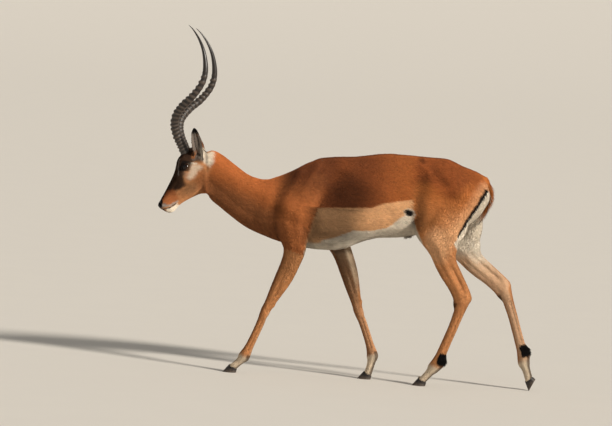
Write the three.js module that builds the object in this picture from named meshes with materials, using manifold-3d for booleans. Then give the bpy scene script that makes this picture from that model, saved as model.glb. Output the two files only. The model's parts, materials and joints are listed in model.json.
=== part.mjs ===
// Impala ram at a walk, life size, in millimetres with +Z up.
// The animal faces -X and its left side is -Y; the origin is on the ground under the middle of its length.
import * as THREE from "three";
import { mergeVertices } from "three/addons/utils/BufferGeometryUtils.js";
import Module from "manifold-3d";

const wasm = await Module();
wasm.setup();

// ---- Driving dimensions ----

const GAP = 0.4; // clear space kept between neighbouring pieces
const BODY_SIDES = 18;
const HEAD_SIDES = 16;
const LEG_SIDES = 9;
const HORN_SIDES = 7;

// Neck and trunk, from the throat to the rump. Each row is one cross-section, given by its top and bottom
// on the side outline, its half width, and how far up from the bottom it is widest.
const TORSO = [
  { top: [-618, 900], bottom: [-600, 765], half: 34, wide: 0.5 },
  { top: [-590, 914], bottom: [-592, 716], half: 50, wide: 0.55 },
  { top: [-542, 895], bottom: [-556, 686], half: 54, wide: 0.55 },
  { top: [-447, 830], bottom: [-487, 637], half: 57, wide: 0.5 },
  { top: [-400, 812], bottom: [-450, 613], half: 61, wide: 0.48 },
  { top: [-345, 809], bottom: [-406, 591], half: 69, wide: 0.45 },
  { top: [-245, 853], bottom: [-322, 566], half: 93, wide: 0.42 },
  { top: [-140, 910], bottom: [-225, 537], half: 109, wide: 0.42 },
  { top: [0, 924], bottom: [-50, 530], half: 119, wide: 0.43 },
  { top: [75, 937], bottom: [35, 564], half: 125, wide: 0.43 },
  { top: [155, 948], bottom: [120, 594], half: 126, wide: 0.44 },
  { top: [320, 942], bottom: [300, 620], half: 112, wide: 0.5 },
  { top: [395, 939], bottom: [385, 640], half: 108, wide: 0.5 },
  { top: [455, 914], bottom: [450, 655], half: 104, wide: 0.48 },
  { top: [515, 895], bottom: [500, 675], half: 88, wide: 0.48 },
  { top: [556, 870], bottom: [535, 700], half: 64, wide: 0.5 },
  { top: [580, 832], bottom: [562, 740], half: 34, wide: 0.5 },
];

// Head, from the back of the skull to the muzzle, in rows of the same kind.
const HEAD = [
  { top: [-607, 896], bottom: [-592, 790], half: 34, wide: 0.5 },
  { top: [-628, 916], bottom: [-588, 752], half: 47, wide: 0.62 },
  { top: [-660, 918], bottom: [-588, 737], half: 54, wide: 0.66 },
  { top: [-695, 912], bottom: [-594, 731], half: 57, wide: 0.7 },
  { top: [-731, 872], bottom: [-621, 729], half: 58, wide: 0.72 },
  { top: [-737, 845], bottom: [-638, 723], half: 57, wide: 0.7 },
  { top: [-742, 818], bottom: [-657, 713], half: 50, wide: 0.66 },
  { top: [-751, 791], bottom: [-677, 701], half: 42, wide: 0.6 },
  { top: [-763, 763], bottom: [-696, 689], half: 35, wide: 0.56 },
  { top: [-775, 736], bottom: [-711, 677], half: 31, wide: 0.54 },
  { top: [-795, 695], bottom: [-734, 648], half: 28, wide: 0.52 },
  { top: [-803, 681], bottom: [-755, 640], half: 25, wide: 0.52 },
  { top: [-806, 670], bottom: [-778, 648], half: 18, wide: 0.52 },
];

// Places where muscle or bone stands out from those plain sections, on both sides:
// [x, y, z, how far it reaches, how much it stands out].
const TORSO_SWELLS = [
  [-275, 78, 672, 52, 9], // point of the shoulder
  [-190, 80, 800, 75, 6], // shoulder blade
  [-175, 95, 690, 85, 8], // upper arm
  [385, 85, 850, 60, 8], // hip bone
  [450, 85, 780, 90, 12], // rump
  [-330, 0, 585, 45, 5], // breast
  [215, 0, 600, 40, 7], // sheath
];
const HEAD_SWELLS = [
  [-691, 52, 862, 20, 6], // brow over the eye
  [-668, 52, 835, 16, 3], // rim behind the eye
  [-655, 44, 775, 34, 5], // cheek
  [-786, 22, 676, 14, 4], // nostril
  [-752, 22, 660, 20, 3], // lips
];

const EYE = { at: [-690, 45.5, 838], radius: 17.5 };

// One horn, from its base to its tip, as a curve through [x, y, z] on the right side.
const HORN_CURVE = [
  [-699, 26, 893],
  [-714, 32, 925],
  [-732, 44, 961],
  [-743, 62, 1002],
  [-738, 84, 1042],
  [-708, 113, 1086],
  [-669, 136, 1124],
  [-633, 146, 1176],
  [-620, 146, 1222],
  [-622, 143, 1270],
  [-634, 138, 1320],
  [-656, 130, 1365],
  [-683, 120, 1401],
  [-704, 112, 1420],
];
const HORN = { base: 20, ringed: 0.66, shoulder: 12, tip: 2, rings: 20, ridge: 1.9, droop: 0.055 };

// Each ear stands up from the same base, the right one turned a little further forwards.
const EAR = { base: [-633, 45, 864], half: 25, cup: 13, thickness: 4.5 };
const EAR_TIPS = { left: [-659, 96, 1003], right: [-682, 94, 980] };

const TAIL = [
  { top: [560, 878], bottom: [530, 868], half: 13 },
  { top: [579, 842], bottom: [546, 838], half: 17 },
  { top: [588, 800], bottom: [556, 800], half: 18 },
  { top: [578, 757], bottom: [546, 764], half: 17 },
  { top: [559, 715], bottom: [530, 727], half: 17 },
  { top: [536, 683], bottom: [510, 699], half: 15 },
  { top: [513, 655], bottom: [493, 670], half: 9 },
];

// Leg outlines about the bones: [bone, how far down it, reach in front, reach behind, half width].
const FORE_SHAPE = [
  ["arm", 0.1, 62, 62, 30],
  ["arm", 0.55, 56, 72, 38],
  ["forearm", 0.0, 38, 58, 38],
  ["forearm", 0.2, 25, 58, 35],
  ["forearm", 0.45, 23, 53, 32],
  ["forearm", 0.67, 22, 40, 27],
  ["forearm", 0.87, 20, 26, 22],
  ["cannon", 0.0, 20, 19, 21],
  ["cannon", 0.13, 20, 20, 21],
  ["cannon", 0.25, 16, 19, 17],
  ["cannon", 0.5, 14, 20, 15],
  ["cannon", 0.78, 15, 21, 16],
  ["cannon", 0.93, 20, 25, 20],
  ["pastern", 0.08, 23, 27, 22],
  ["pastern", 0.5, 17, 20, 19],
];
const HIND_SHAPE = [
  ["thigh", 0.1, 95, 68, 46],
  ["thigh", 0.4, 120, 96, 56],
  ["thigh", 0.68, 114, 110, 56],
  ["thigh", 0.9, 80, 114, 51],
  ["shank", 0.06, 42, 110, 46],
  ["shank", 0.22, 33, 88, 40],
  ["shank", 0.4, 37, 58, 33],
  ["shank", 0.6, 38, 50, 27],
  ["shank", 0.8, 36, 46, 22],
  ["cannon", 0.02, 37, 44, 23],
  ["cannon", 0.09, 29, 41, 24],
  ["cannon", 0.17, 18, 37, 21],
  ["cannon", 0.27, 11, 34, 17],
  ["cannon", 0.45, 9, 32, 15],
  ["cannon", 0.78, 13, 29, 16],
  ["cannon", 0.85, 15, 40, 17], // the dark tuft over the gland
  ["cannon", 0.93, 20, 38, 19],
  ["pastern", 0.06, 25, 27, 22],
  ["pastern", 0.5, 19, 20, 19],
];

const FORE_BONES = ["arm", "forearm", "cannon", "pastern"];
const HIND_BONES = ["thigh", "shank", "cannon", "pastern"];

// The pose: each joint as [x, distance from the mid-line, z], from the top of the leg to the coronet.
// `shell` is the rounded part of the trunk's side that belongs to the leg.
const LEGS = {
  leg_fore_left: {
    side: -1,
    bones: FORE_BONES,
    shape: FORE_SHAPE,
    joints: [[-250, 76, 670], [-222, 80, 530], [-314, 72, 275], [-398, 65, 72], [-437, 61, 24]],
    shell: { centre: [-196, 690], along: 185, across: 84, tilt: 72, inside: 62 },
    hoof: { toe: -485, pitch: 0 },
  },
  leg_fore_right: {
    side: 1,
    bones: FORE_BONES,
    shape: FORE_SHAPE,
    joints: [[-190, 76, 670], [-61, 80, 554], [52, 72, 290], [124, 63, 101], [115, 59, 28]],
    shell: { centre: [-176, 690], along: 185, across: 88, tilt: 84, inside: 62 },
    hoof: { toe: 66, pitch: 0 },
  },
  leg_hind_left: {
    side: -1,
    bones: HIND_BONES,
    shape: HIND_SHAPE,
    joints: [[470, 66, 800], [348, 88, 600], [492, 76, 380], [393, 65, 82], [350, 61, 24]],
    shell: { centre: [420, 765], along: 142, across: 118, tilt: 40, inside: 46 },
    hoof: { toe: 304, pitch: 0 },
  },
  leg_hind_right: {
    side: 1,
    bones: HIND_BONES,
    shape: HIND_SHAPE,
    joints: [[490, 66, 800], [427, 88, 570], [640, 78, 425], [753, 67, 117], [782, 62, 50]],
    shell: { centre: [440, 760], along: 142, across: 112, tilt: 60, inside: 46 },
    hoof: { toe: 783, pitch: 64 },
  },
};

// One claw of a cloven hoof, and how much is worn off the toe of a hoof that stands on its tip.
const CLAW = {
  length: 57,
  width: 21,
  cleft: 1.6,
  toeHeight: 33,
  heelHeight: 15,
  toeBack: 27,
  heelOver: 3,
  sides: 10,
};
const WORN = 2.5;

// ---- Solids ----

// A BufferGeometry from points and triangles, which may be listed either way round: the faces end up
// facing out.
function geometryOf(points, triangles) {
  const geometry = new THREE.BufferGeometry();
  const numbers = points.flatMap((p) => [p.x, p.y, p.z]);
  geometry.setAttribute("position", new THREE.Float32BufferAttribute(numbers, 3));
  const volume = triangles.reduce((sum, [a, b, c]) => {
    const normal = new THREE.Vector3().crossVectors(points[b], points[c]);
    return sum + points[a].dot(normal);
  }, 0);
  geometry.setIndex(triangles.flatMap(([a, b, c]) => (volume > 0 ? [a, b, c] : [a, c, b])));
  return geometry;
}

function solidOf(geometry) {
  const bare = geometry.clone();
  bare.deleteAttribute("normal");
  bare.deleteAttribute("uv");
  const merged = mergeVertices(bare, 1e-4);
  const triVerts = new Uint32Array(merged.index.array);
  return new wasm.Manifold(
    new wasm.Mesh({ numProp: 3, vertProperties: merged.attributes.position.array, triVerts }),
  );
}

// The largest body of a solid, so that slivers left by a cut are dropped.
function mainBody(solid) {
  return solid.decompose().reduce((best, body) => (body.volume() > best.volume() ? body : best));
}

function meshOf(name, solid, material) {
  const made = mainBody(solid).getMesh();
  const geometry = new THREE.BufferGeometry();
  geometry.setAttribute("position", new THREE.BufferAttribute(new Float32Array(made.vertProperties), 3));
  geometry.setIndex(new THREE.BufferAttribute(new Uint32Array(made.triVerts), 1));
  geometry.computeVertexNormals();
  const mesh = new THREE.Mesh(geometry, material);
  mesh.name = name;
  return mesh;
}

// A closed skin over rings of equally many points. Each end is closed by a fan, or, where the rings are
// thin leaves, by a strip from one face of the leaf to the other.
function loft(rings, leaf = false) {
  const sides = rings[0].length;
  const points = rings.flat();
  const triangles = [];
  for (let r = 0; r + 1 < rings.length; r++) {
    for (let k = 0; k < sides; k++) {
      const a = r * sides + k;
      const b = r * sides + ((k + 1) % sides);
      triangles.push([a, b, b + sides], [a, b + sides, a + sides]);
    }
  }
  for (const [first, flip] of [[0, true], [(rings.length - 1) * sides, false]]) {
    const facing = (a, b, c) => (flip ? [b, a, c] : [a, b, c]);
    if (leaf) {
      for (let k = 0; k + 1 < sides / 2; k++) {
        const [a, b, c, d] = [k, k + 1, sides - 2 - k, sides - 1 - k].map((i) => first + i);
        triangles.push(facing(a, b, c), facing(a, c, d));
      }
      continue;
    }
    const middle = points.length;
    const centre = new THREE.Vector3();
    for (let k = 0; k < sides; k++) centre.addScaledVector(points[first + k], 1 / sides);
    points.push(centre);
    for (let k = 0; k < sides; k++) {
      const a = first + k;
      const b = first + ((k + 1) % sides);
      triangles.push(facing(a, b, middle));
    }
  }
  return geometryOf(points, triangles);
}

const catmull = (a, b, c, d, t) =>
  0.5 * (2 * b + (c - a) * t + (2 * a - 5 * b + 4 * c - d) * t * t + (3 * b - a - 3 * c + d) * t * t * t);

// Rows of numbers with `steps` smooth rows put in for each interval.
function smoothRows(rows, steps) {
  const at = (i) => rows[Math.min(Math.max(i, 0), rows.length - 1)];
  const out = [];
  for (let i = 0; i + 1 < rows.length; i++) {
    for (let s = 0; s < steps; s++) {
      const [a, b, c, d] = [at(i - 1), at(i), at(i + 1), at(i + 2)];
      out.push(b.map((_, k) => catmull(a[k], b[k], c[k], d[k], s / steps)));
    }
  }
  out.push(rows.at(-1));
  return out;
}

const signedPower = (value, power) => Math.sign(value) * Math.abs(value) ** power;

// One cross-section: a rounded oval from `back` to `front` (points in space), `half` wide on each side.
// `upper` and `lower` are the powers of the oval's two ends: 2 is an ellipse, less is more pointed.
function section({ front, back, half, wide, upper, lower }, sides, grow) {
  const axis = front.clone().sub(back);
  const reach = axis.length();
  axis.normalize();
  const ring = [];
  for (let k = 0; k < sides; k++) {
    const angle = (2 * Math.PI * k) / sides;
    const c = Math.cos(angle);
    const power = 2 / (c > 0 ? upper : lower);
    const run = signedPower(c, power) * (c > 0 ? reach * (1 - wide) + grow : reach * wide + grow);
    const point = back.clone().addScaledVector(axis, reach * wide + run);
    point.y += signedPower(Math.sin(angle), power) * (half + grow);
    ring.push(point);
  }
  return ring;
}

const middleOf = (points) =>
  points.reduce((sum, p) => sum.addScaledVector(p, 1 / points.length), new THREE.Vector3());

// Pushes a ring's points out from its middle where a swelling reaches them.
function swell(ring, swells) {
  const middle = middleOf(ring);
  return ring.map((p) => {
    const out = p.clone().sub(middle).normalize();
    const push = swells.reduce((sum, [x, y, z, reach, by]) => {
      const distance = Math.hypot(p.x - x, Math.abs(p.y) - y, p.z - z);
      return sum + by * Math.exp(-((distance / reach) ** 2));
    }, 0);
    return p.clone().addScaledVector(out, push);
  });
}

// A solid through rows of the side outline on the mid-line, rounded off at both ends.
function outlineSolid(rows, { sides, steps, swells = [], upper = 2, lower = 2, grow = 0, round = 0.5 }) {
  const numbers = rows.map((r) => [...r.top, ...r.bottom, r.half, r.wide ?? 0.5]);
  const rings = smoothRows(numbers, steps).map(([tx, tz, bx, bz, half, wide]) => {
    const front = new THREE.Vector3(tx, 0, tz);
    const back = new THREE.Vector3(bx, 0, bz);
    return swell(section({ front, back, half, wide, upper, lower }, sides, grow), swells);
  });
  const ends = [cap(rings[0], rings[1], round, grow), cap(rings.at(-1), rings.at(-2), round, grow)];
  return solidOf(loft([ends[0], ...rings, ends[1]]));
}

// A smaller ring beyond the end ring, so that the end is domed.
function cap(end, inner, round, grow) {
  const middle = middleOf(end);
  const out = middle.clone().sub(middleOf(inner)).normalize();
  const size = end.reduce((sum, p) => sum + p.distanceTo(middle), 0) / end.length;
  return end.map((p) => middle.clone().lerp(p, 0.55).addScaledVector(out, size * round * 0.5 + grow));
}

const vectorOf = ([x, y, z], side = 1) => new THREE.Vector3(x, side * y, z);

// ---- Legs ----

// The rows of a leg's outline set on its bones, as [front x, y, z, back x, y, z, half].
// A row's plane turns half-way towards the next bone as it nears a joint.
function legRows({ side, bones, shape, joints }) {
  const at = joints.map((j) => vectorOf(j, side));
  const along = bones.map((_, i) => at[i + 1].clone().sub(at[i]).normalize());
  return shape.map(([bone, t, before, behind, half]) => {
    const i = bones.indexOf(bone);
    const neighbour = along[t < 0.5 ? i - 1 : i + 1] ?? along[i];
    const share = Math.abs(t - 0.5);
    const way = along[i].clone().multiplyScalar(1 - share).addScaledVector(neighbour, share).normalize();
    const forwards = new THREE.Vector3(way.z, 0, -way.x).normalize();
    const middle = at[i].clone().lerp(at[i + 1], t);
    const front = middle.clone().addScaledVector(forwards, before);
    const back = middle.clone().addScaledVector(forwards, -behind);
    return [...front, ...back, half];
  });
}

// A leg's own form, from its top to a last ring that meets the hoof.
function limb(leg, grow = 0) {
  const coronet = [
    ...hoofPoint(leg, CLAW.toeBack, 0, CLAW.toeHeight + GAP),
    ...hoofPoint(leg, CLAW.length + CLAW.heelOver, 0, CLAW.heelHeight + GAP),
    CLAW.width,
  ];
  const rings = smoothRows([...legRows(leg), coronet], 2).map(([fx, fy, fz, bx, by, bz, half]) => {
    const front = new THREE.Vector3(fx, fy, fz);
    const back = new THREE.Vector3(bx, by, bz);
    return section({ front, back, half, wide: 0.5, upper: 2.1, lower: 2.1 }, LEG_SIDES, grow);
  });
  return solidOf(loft([cap(rings[0], rings[1], 0.6, grow), ...rings]));
}

// A rounded block standing on one side of the mid-line, over the part of the trunk that belongs to a leg.
function shellBlock({ side, shell }, shrink = 0) {
  const outline = new THREE.Shape();
  const tilt = THREE.MathUtils.degToRad(shell.tilt);
  outline.absellipse(0, 0, shell.along - shrink, shell.across - shrink, 0, 2 * Math.PI, false, tilt);
  const inner = shell.inside + shrink;
  const reach = 200;
  const settings = { depth: reach, bevelEnabled: false, curveSegments: 9 };
  const block = new THREE.ExtrudeGeometry(outline, settings);
  block.rotateX(Math.PI / 2);
  block.translate(shell.centre[0], side > 0 ? inner + reach : -inner, shell.centre[1]);
  return solidOf(block);
}

// ---- Hooves ----

// A place on a foot: u back from the toe, w out from the cleft, h up from the sole.
function hoofPoint({ side, joints, hoof }, u, w, h) {
  const pitch = THREE.MathUtils.degToRad(hoof.pitch);
  const dig = hoof.pitch ? WORN : 0;
  return new THREE.Vector3(
    hoof.toe + u * Math.cos(pitch) - h * Math.sin(pitch),
    side * (joints.at(-1)[1] + w),
    u * Math.sin(pitch) + h * Math.cos(pitch) - dig,
  );
}

// A claw's outline at one level: straight on the cleft side, bowed on the outer side, narrow at the toe.
// `outer` is 1 for the claw away from the animal's mid-line and -1 for the other.
function clawRing(leg, outer, start, length, width, heights) {
  const ring = [];
  for (let k = 0; k < CLAW.sides; k++) {
    const angle = (2 * Math.PI * k) / CLAW.sides;
    const u = start + (length * (1 - Math.cos(angle))) / 2;
    const fullness = ((u - start) / length) ** 0.35;
    const bow = Math.sin(angle);
    const w = bow > 0 ? bow * width * fullness : 0.04 * bow * width;
    const share = (u - start) / length;
    ring.push(hoofPoint(leg, u, outer * (CLAW.cleft + w), heights[0] + (heights[1] - heights[0]) * share));
  }
  return ring;
}

function claw(leg, outer) {
  const { length, width, toeHeight, heelHeight, toeBack, heelOver } = CLAW;
  const rings = [0, 0.5, 1].map((t) =>
    clawRing(
      leg,
      outer,
      toeBack * t,
      length - toeBack * t + heelOver * t,
      width * (1 - 0.16 * t),
      [toeHeight * t, heelHeight * t],
    ),
  );
  const whole = solidOf(loft(rings));
  return leg.hoof.pitch ? whole.subtract(groundBlock()) : whole;
}

// All that is under the ground.
function groundBlock() {
  const depth = 100;
  const block = new THREE.BoxGeometry(3000, 1000, depth);
  block.translate(0, 0, -depth / 2);
  return solidOf(block);
}

// ---- Horns, ears and eyes ----

// A round bar along the horn's curve, with ridges round its lower part and a smooth point.
// The head is tipped a little, so that the right horn stands lower than the left.
function horn(side, grow = 0) {
  const path = HORN_CURVE.map(([x, y, z]) => vectorOf([x, y, z - side * y * HORN.droop], side));
  const curve = new THREE.CatmullRomCurve3(path, false, "centripetal");
  const levels = [];
  for (let i = 0; i < HORN.rings; i++) {
    const start = (HORN.ringed * i) / HORN.rings;
    levels.push([start, 0], [start + (0.6 * HORN.ringed) / HORN.rings, HORN.ridge]);
  }
  for (let i = 0; i <= 8; i++) levels.push([HORN.ringed + ((1 - HORN.ringed) * i) / 8, 0]);
  const rings = levels.map(([t, ridge]) => {
    const smooth = THREE.MathUtils.clamp((t - HORN.ringed) / (1 - HORN.ringed), 0, 1);
    const lower = THREE.MathUtils.lerp(HORN.base, HORN.shoulder, Math.min(t / HORN.ringed, 1) ** 1.2);
    const bare = smooth > 0 ? THREE.MathUtils.lerp(HORN.shoulder, HORN.tip, smooth) : lower;
    const radius = bare + ridge + grow;
    const way = curve.getTangentAt(t);
    const centre = curve.getPointAt(t).addScaledVector(way, t === 0 ? -grow : 0);
    const across = new THREE.Vector3(0, 1, 0).cross(way).normalize();
    const other = way.clone().cross(across);
    return Array.from({ length: HORN_SIDES }, (_, k) => {
      const angle = (2 * Math.PI * k) / HORN_SIDES;
      return centre
        .clone()
        .addScaledVector(across, radius * Math.cos(angle))
        .addScaledVector(other, radius * Math.sin(angle));
    });
  });
  return solidOf(loft(rings));
}

// An upright leaf, cupped to the outside: each ring goes round its outer face and back along its inner one.
function ear(side, grow = 0) {
  const base = vectorOf(EAR.base, side);
  const tip = vectorOf(side < 0 ? EAR_TIPS.left : EAR_TIPS.right, side);
  const up = tip.clone().sub(base);
  const across = new THREE.Vector3(1, 0, 0).projectOnPlane(up.clone().normalize()).normalize();
  const inwards = up.clone().normalize().cross(across).multiplyScalar(-side);
  const rows = 8;
  const columns = 4;
  const rings = [];
  for (let i = 0; i <= rows; i++) {
    const t = i / rows;
    const breadth = EAR.half * Math.sqrt(1 - ((t - 0.42) / 0.6) ** 2);
    const ring = [];
    for (const layer of [0, 1]) {
      for (let k = 0; k <= columns; k++) {
        const s = layer ? 1 - (2 * k) / columns : (2 * k) / columns - 1;
        const rim = 1 - Math.abs(s) ** 4;
        const face = (layer ? -1 : 1) * (0.3 + 0.7 * rim) * EAR.thickness * 0.5;
        const depth = EAR.cup * (1 - s * s) * (1 - 0.6 * t) + face;
        ring.push(
          base
            .clone()
            .addScaledVector(up, t + ((i ? 0 : -2) * grow) / up.length())
            .addScaledVector(across, s * (breadth + grow))
            .addScaledVector(inwards, depth + (layer ? -2 : 2) * grow),
        );
      }
    }
    rings.push(ring);
  }
  return solidOf(loft(rings, true));
}

function eye(side, grow = 0) {
  const ball = new THREE.SphereGeometry(EYE.radius + grow, 12, 8);
  ball.translate(EYE.at[0], side * EYE.at[1], EYE.at[2]);
  return solidOf(ball);
}

// ---- The animal ----

const finish = (color, roughness) => new THREE.MeshStandardMaterial({ color, roughness, metalness: 0 });
const coat = () => finish(0xb4733c, 0.85);

const SIDES = { left: -1, right: 1 };
const torsoForm = { sides: BODY_SIDES, steps: 2, swells: TORSO_SWELLS, upper: 1.9, lower: 2.05 };
const skullForm = { sides: HEAD_SIDES, steps: 2, swells: HEAD_SWELLS, upper: 2.2, lower: 1.75 };
const torso = outlineSolid(TORSO, torsoForm);
const skull = outlineSolid(HEAD, skullForm);
const grownSkull = outlineSolid(HEAD, { ...skullForm, grow: GAP });
const tailSolid = (grow = 0) => outlineSolid(TAIL, { sides: 8, steps: 2, grow });

const animal = new THREE.Group();

// The head, with room for what grows from it.
let head = skull;
for (const [name, side] of Object.entries(SIDES)) {
  head = head.subtract(horn(side, GAP)).subtract(ear(side, GAP)).subtract(eye(side, GAP));
  animal.add(meshOf("horn_" + name, horn(side), finish(0x2b2724, 0.55)));
  animal.add(meshOf("ear_" + name, ear(side), finish(0x8b7460, 0.85)));
  animal.add(meshOf("eye_" + name, eye(side), finish(0x0b0706, 0.1)));
}
animal.add(meshOf("head", head, coat()));

// The trunk and neck are one form, parted by a thin slanting cut in front of the shoulders.
let body = torso.subtract(grownSkull).subtract(tailSolid(GAP));
for (const [name, leg] of Object.entries(LEGS)) {
  const shell = torso.intersect(shellBlock(leg, GAP)).subtract(tailSolid(GAP));
  const upper = limb(leg).subtract(tailSolid(GAP));
  const others = Object.values(LEGS).filter((other) => other !== leg && other.side === leg.side);
  const whole = others.reduce((solid, other) => solid.subtract(limb(other, GAP)), shell).add(upper);
  animal.add(meshOf(name, whole, coat()));
  body = body.subtract(shellBlock(leg)).subtract(limb(leg, GAP));
}
const neckCut = new THREE.Vector3(-0.93, 0, 0.37).normalize();
const neckPlane = neckCut.dot(new THREE.Vector3(-318, 0, 700));
const towardsTrunk = neckCut.clone().negate();
animal.add(meshOf("neck", body.trimByPlane(neckCut.toArray(), neckPlane + GAP / 2), coat()));
animal.add(meshOf("trunk", body.trimByPlane(towardsTrunk.toArray(), GAP / 2 - neckPlane), coat()));
animal.add(meshOf("tail", tailSolid(), finish(0xd8cfc4, 0.9)));

// The hooves: two claws under each coronet.
for (const [name, leg] of Object.entries(LEGS)) {
  for (const [place, outer] of [["outer", 1], ["inner", -1]]) {
    animal.add(meshOf(name.replace("leg", "hoof") + "_" + place, claw(leg, outer), finish(0x15110f, 0.5)));
  }
}

export default animal;
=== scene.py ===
"""A life-size impala ram at a walk, as a still model in a plain studio.

One skin covers head, neck, trunk, legs, ears and tail, and carries a short coat of thin tufts. Horns, eyes
and hooves are pieces of their own. Lengths are in metres; the animal faces -X, its left side is -Y and +Z
is up.
"""

from __future__ import annotations

import json
import logging
import math
from dataclasses import dataclass, replace
from enum import Enum

import bmesh
import bpy
import numpy as np
from mathutils import Matrix, Vector
from mathutils.bvhtree import BVHTree

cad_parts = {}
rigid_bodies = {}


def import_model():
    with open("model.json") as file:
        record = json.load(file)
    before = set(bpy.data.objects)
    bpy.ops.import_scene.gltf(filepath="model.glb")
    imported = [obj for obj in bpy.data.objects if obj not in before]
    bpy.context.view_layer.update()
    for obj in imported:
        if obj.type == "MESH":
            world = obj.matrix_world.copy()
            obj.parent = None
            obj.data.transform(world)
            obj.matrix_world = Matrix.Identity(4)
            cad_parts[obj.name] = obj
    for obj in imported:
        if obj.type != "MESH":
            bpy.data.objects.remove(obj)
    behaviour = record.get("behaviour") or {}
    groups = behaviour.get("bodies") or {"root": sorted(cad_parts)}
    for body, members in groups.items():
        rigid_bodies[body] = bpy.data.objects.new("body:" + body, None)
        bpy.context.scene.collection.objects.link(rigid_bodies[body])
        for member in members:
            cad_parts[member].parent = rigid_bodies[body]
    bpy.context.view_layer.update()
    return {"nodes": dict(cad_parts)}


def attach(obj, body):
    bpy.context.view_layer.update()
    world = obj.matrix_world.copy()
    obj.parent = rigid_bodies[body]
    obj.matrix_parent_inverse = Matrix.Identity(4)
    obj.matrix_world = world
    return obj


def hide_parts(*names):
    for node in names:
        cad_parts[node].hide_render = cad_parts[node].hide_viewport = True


LOG = logging.getLogger("impala")
ROOT = "root"
ATLAS = "OFBake"
COLOUR = "coat_colour"
GLOSS = "wetness"
SEED = 20
ATLAS_ANGLE = math.radians(66)
ATLAS_MARGIN = 0.002
PATCH_HALF = 0.0015
ROOT_DEPTH = 0.0004
RIDGE = 0.24
# Painted shade down in the coat: each tuft's colour is darkest at its root and palest at its tip.
ROOT_SHADE, RIDGE_SHADE, TIP_SHADE = 0.91, 0.98, 1.04

Array = np.ndarray
Material = bpy.types.Material
Mesh = bpy.types.Mesh
Object = bpy.types.Object
Socket = bpy.types.NodeSocket
Point = tuple[float, float, float]
Flat = tuple[float, float]
Colour = tuple[float, float, float]

SIDES = {"left": -1, "right": 1}


# ---- Numbers and lines ----


def ease(low: float, high: float, values: Array) -> Array:
    """A smooth step from 0 at low to 1 at high; low may be the larger."""
    share = np.clip((values - low) / (high - low), 0, 1)
    return share * share * (3 - 2 * share)


def unit(vectors: Array) -> Array:
    """The vectors at length one."""
    return vectors / np.maximum(np.linalg.norm(vectors, axis=-1, keepdims=True), 1e-9)


def to_segment(points: Array, start: Point, end: Point) -> tuple[Array, Array]:
    """Measures points against a straight line.

    Args:
        points: rows of coordinates, in as many dimensions as the line's ends.
        start: where the line starts.
        end: where it ends.

    Returns:
        How far along the line each point's nearest place is, from 0 to 1, and how far away that is.
    """
    first = np.array(start)
    axis = np.array(end) - first
    share = np.clip((points - first) @ axis / (axis @ axis), 0, 1)
    return share, np.linalg.norm(points - first - share[:, None] * axis, axis=1)


def to_path(points: Array, path: list[Point]) -> Array:
    """How far points are from a bent line."""
    if len(path) == 1:
        return np.linalg.norm(points - np.array(path[0]), axis=1)
    return np.min([to_segment(points, a, b)[1] for a, b in zip(path, path[1:])], axis=0)


def inside_by(flat: Array, outline: list[Flat]) -> Array:
    """How far inside a closed outline points lie; outside it the answer is negative."""
    nearest = np.full(len(flat), np.inf)
    inside = np.zeros(len(flat), bool)
    for a, b in zip(outline, outline[1:] + outline[:1]):
        nearest = np.minimum(nearest, to_segment(flat, a, b)[1])
        crossed = (a[1] > flat[:, 1]) != (b[1] > flat[:, 1])
        rise = b[1] - a[1] if b[1] != a[1] else 1e-9
        inside ^= crossed & (flat[:, 0] < a[0] + (flat[:, 1] - a[1]) * (b[0] - a[0]) / rise)
    return np.where(inside, nearest, -nearest)


def along_skin(ways: Array, normals: Array) -> Array:
    """Directions laid flat on the skin that has these normals."""
    return unit(ways - (ways * normals).sum(axis=1, keepdims=True) * normals)


def wobble(points: Array, size: float, seed: int) -> Array:
    """A smooth irregular value of about -1 to 1 over space, with lumps of about the given size."""
    rng = np.random.default_rng(seed)
    waves = 9  # enough of them that no direction stands out
    ways = unit(rng.normal(size=(waves, 3))) * (math.tau / size) * rng.uniform(0.4, 1.1, (waves, 1))
    phases = rng.uniform(0, math.tau, waves)
    return np.sin(points @ ways.T + phases).sum(axis=1) * math.sqrt(2 / waves) * 0.7


def curve_through(knots: list[Point], count: int, per_knot: int = 24) -> Array:
    """Evenly spaced points along a smooth curve through knots.

    Args:
        knots: the points that the curve passes through.
        count: how many points to return.
        per_knot: into how many steps each stretch is cut to measure it.

    Returns:
        The points, as rows.
    """
    k = np.array(knots)
    k = np.vstack([2 * k[0] - k[1], k, 2 * k[-1] - k[-2]])
    steps = np.linspace(0, 1, per_knot, endpoint=False)[:, None]
    dense = []
    for a, b, c, d in zip(k, k[1:], k[2:], k[3:]):
        bend = (2 * a - 5 * b + 4 * c - d) * steps**2 + (3 * b - a - 3 * c + d) * steps**3
        dense.append(0.5 * (2 * b + (c - a) * steps + bend))
    line = np.vstack([*dense, k[-2:-1]])
    run = np.concatenate([[0], np.cumsum(np.linalg.norm(np.diff(line, axis=0), axis=1))])
    at = np.linspace(0, run[-1], count)
    return np.stack([np.interp(at, run, line[:, i]) for i in range(3)], axis=1)


def frames_along(line: Array, across: Point) -> tuple[Array, Array, Array]:
    """Directions along a line, and two square to it, the first kept close to `across`."""
    along = unit(np.gradient(line, axis=0))
    first = unit(np.array(across) - (along @ np.array(across))[:, None] * along)
    return along, first, np.cross(along, first)


# ---- Meshes ----


def new_mesh(name: str, points: Array, faces: Array) -> Mesh:
    """A mesh whose faces all have the same number of corners."""
    mesh = bpy.data.meshes.new(name)
    mesh.vertices.add(len(points))
    mesh.vertices.foreach_set("co", np.ascontiguousarray(points, np.float32).ravel())
    mesh.loops.add(faces.size)
    mesh.loops.foreach_set("vertex_index", np.ascontiguousarray(faces, np.int32).ravel())
    mesh.polygons.add(len(faces))
    mesh.polygons.foreach_set("loop_start", np.arange(0, faces.size, faces.shape[1], dtype=np.int32))
    mesh.update(calc_edges=True)
    return mesh


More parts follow.
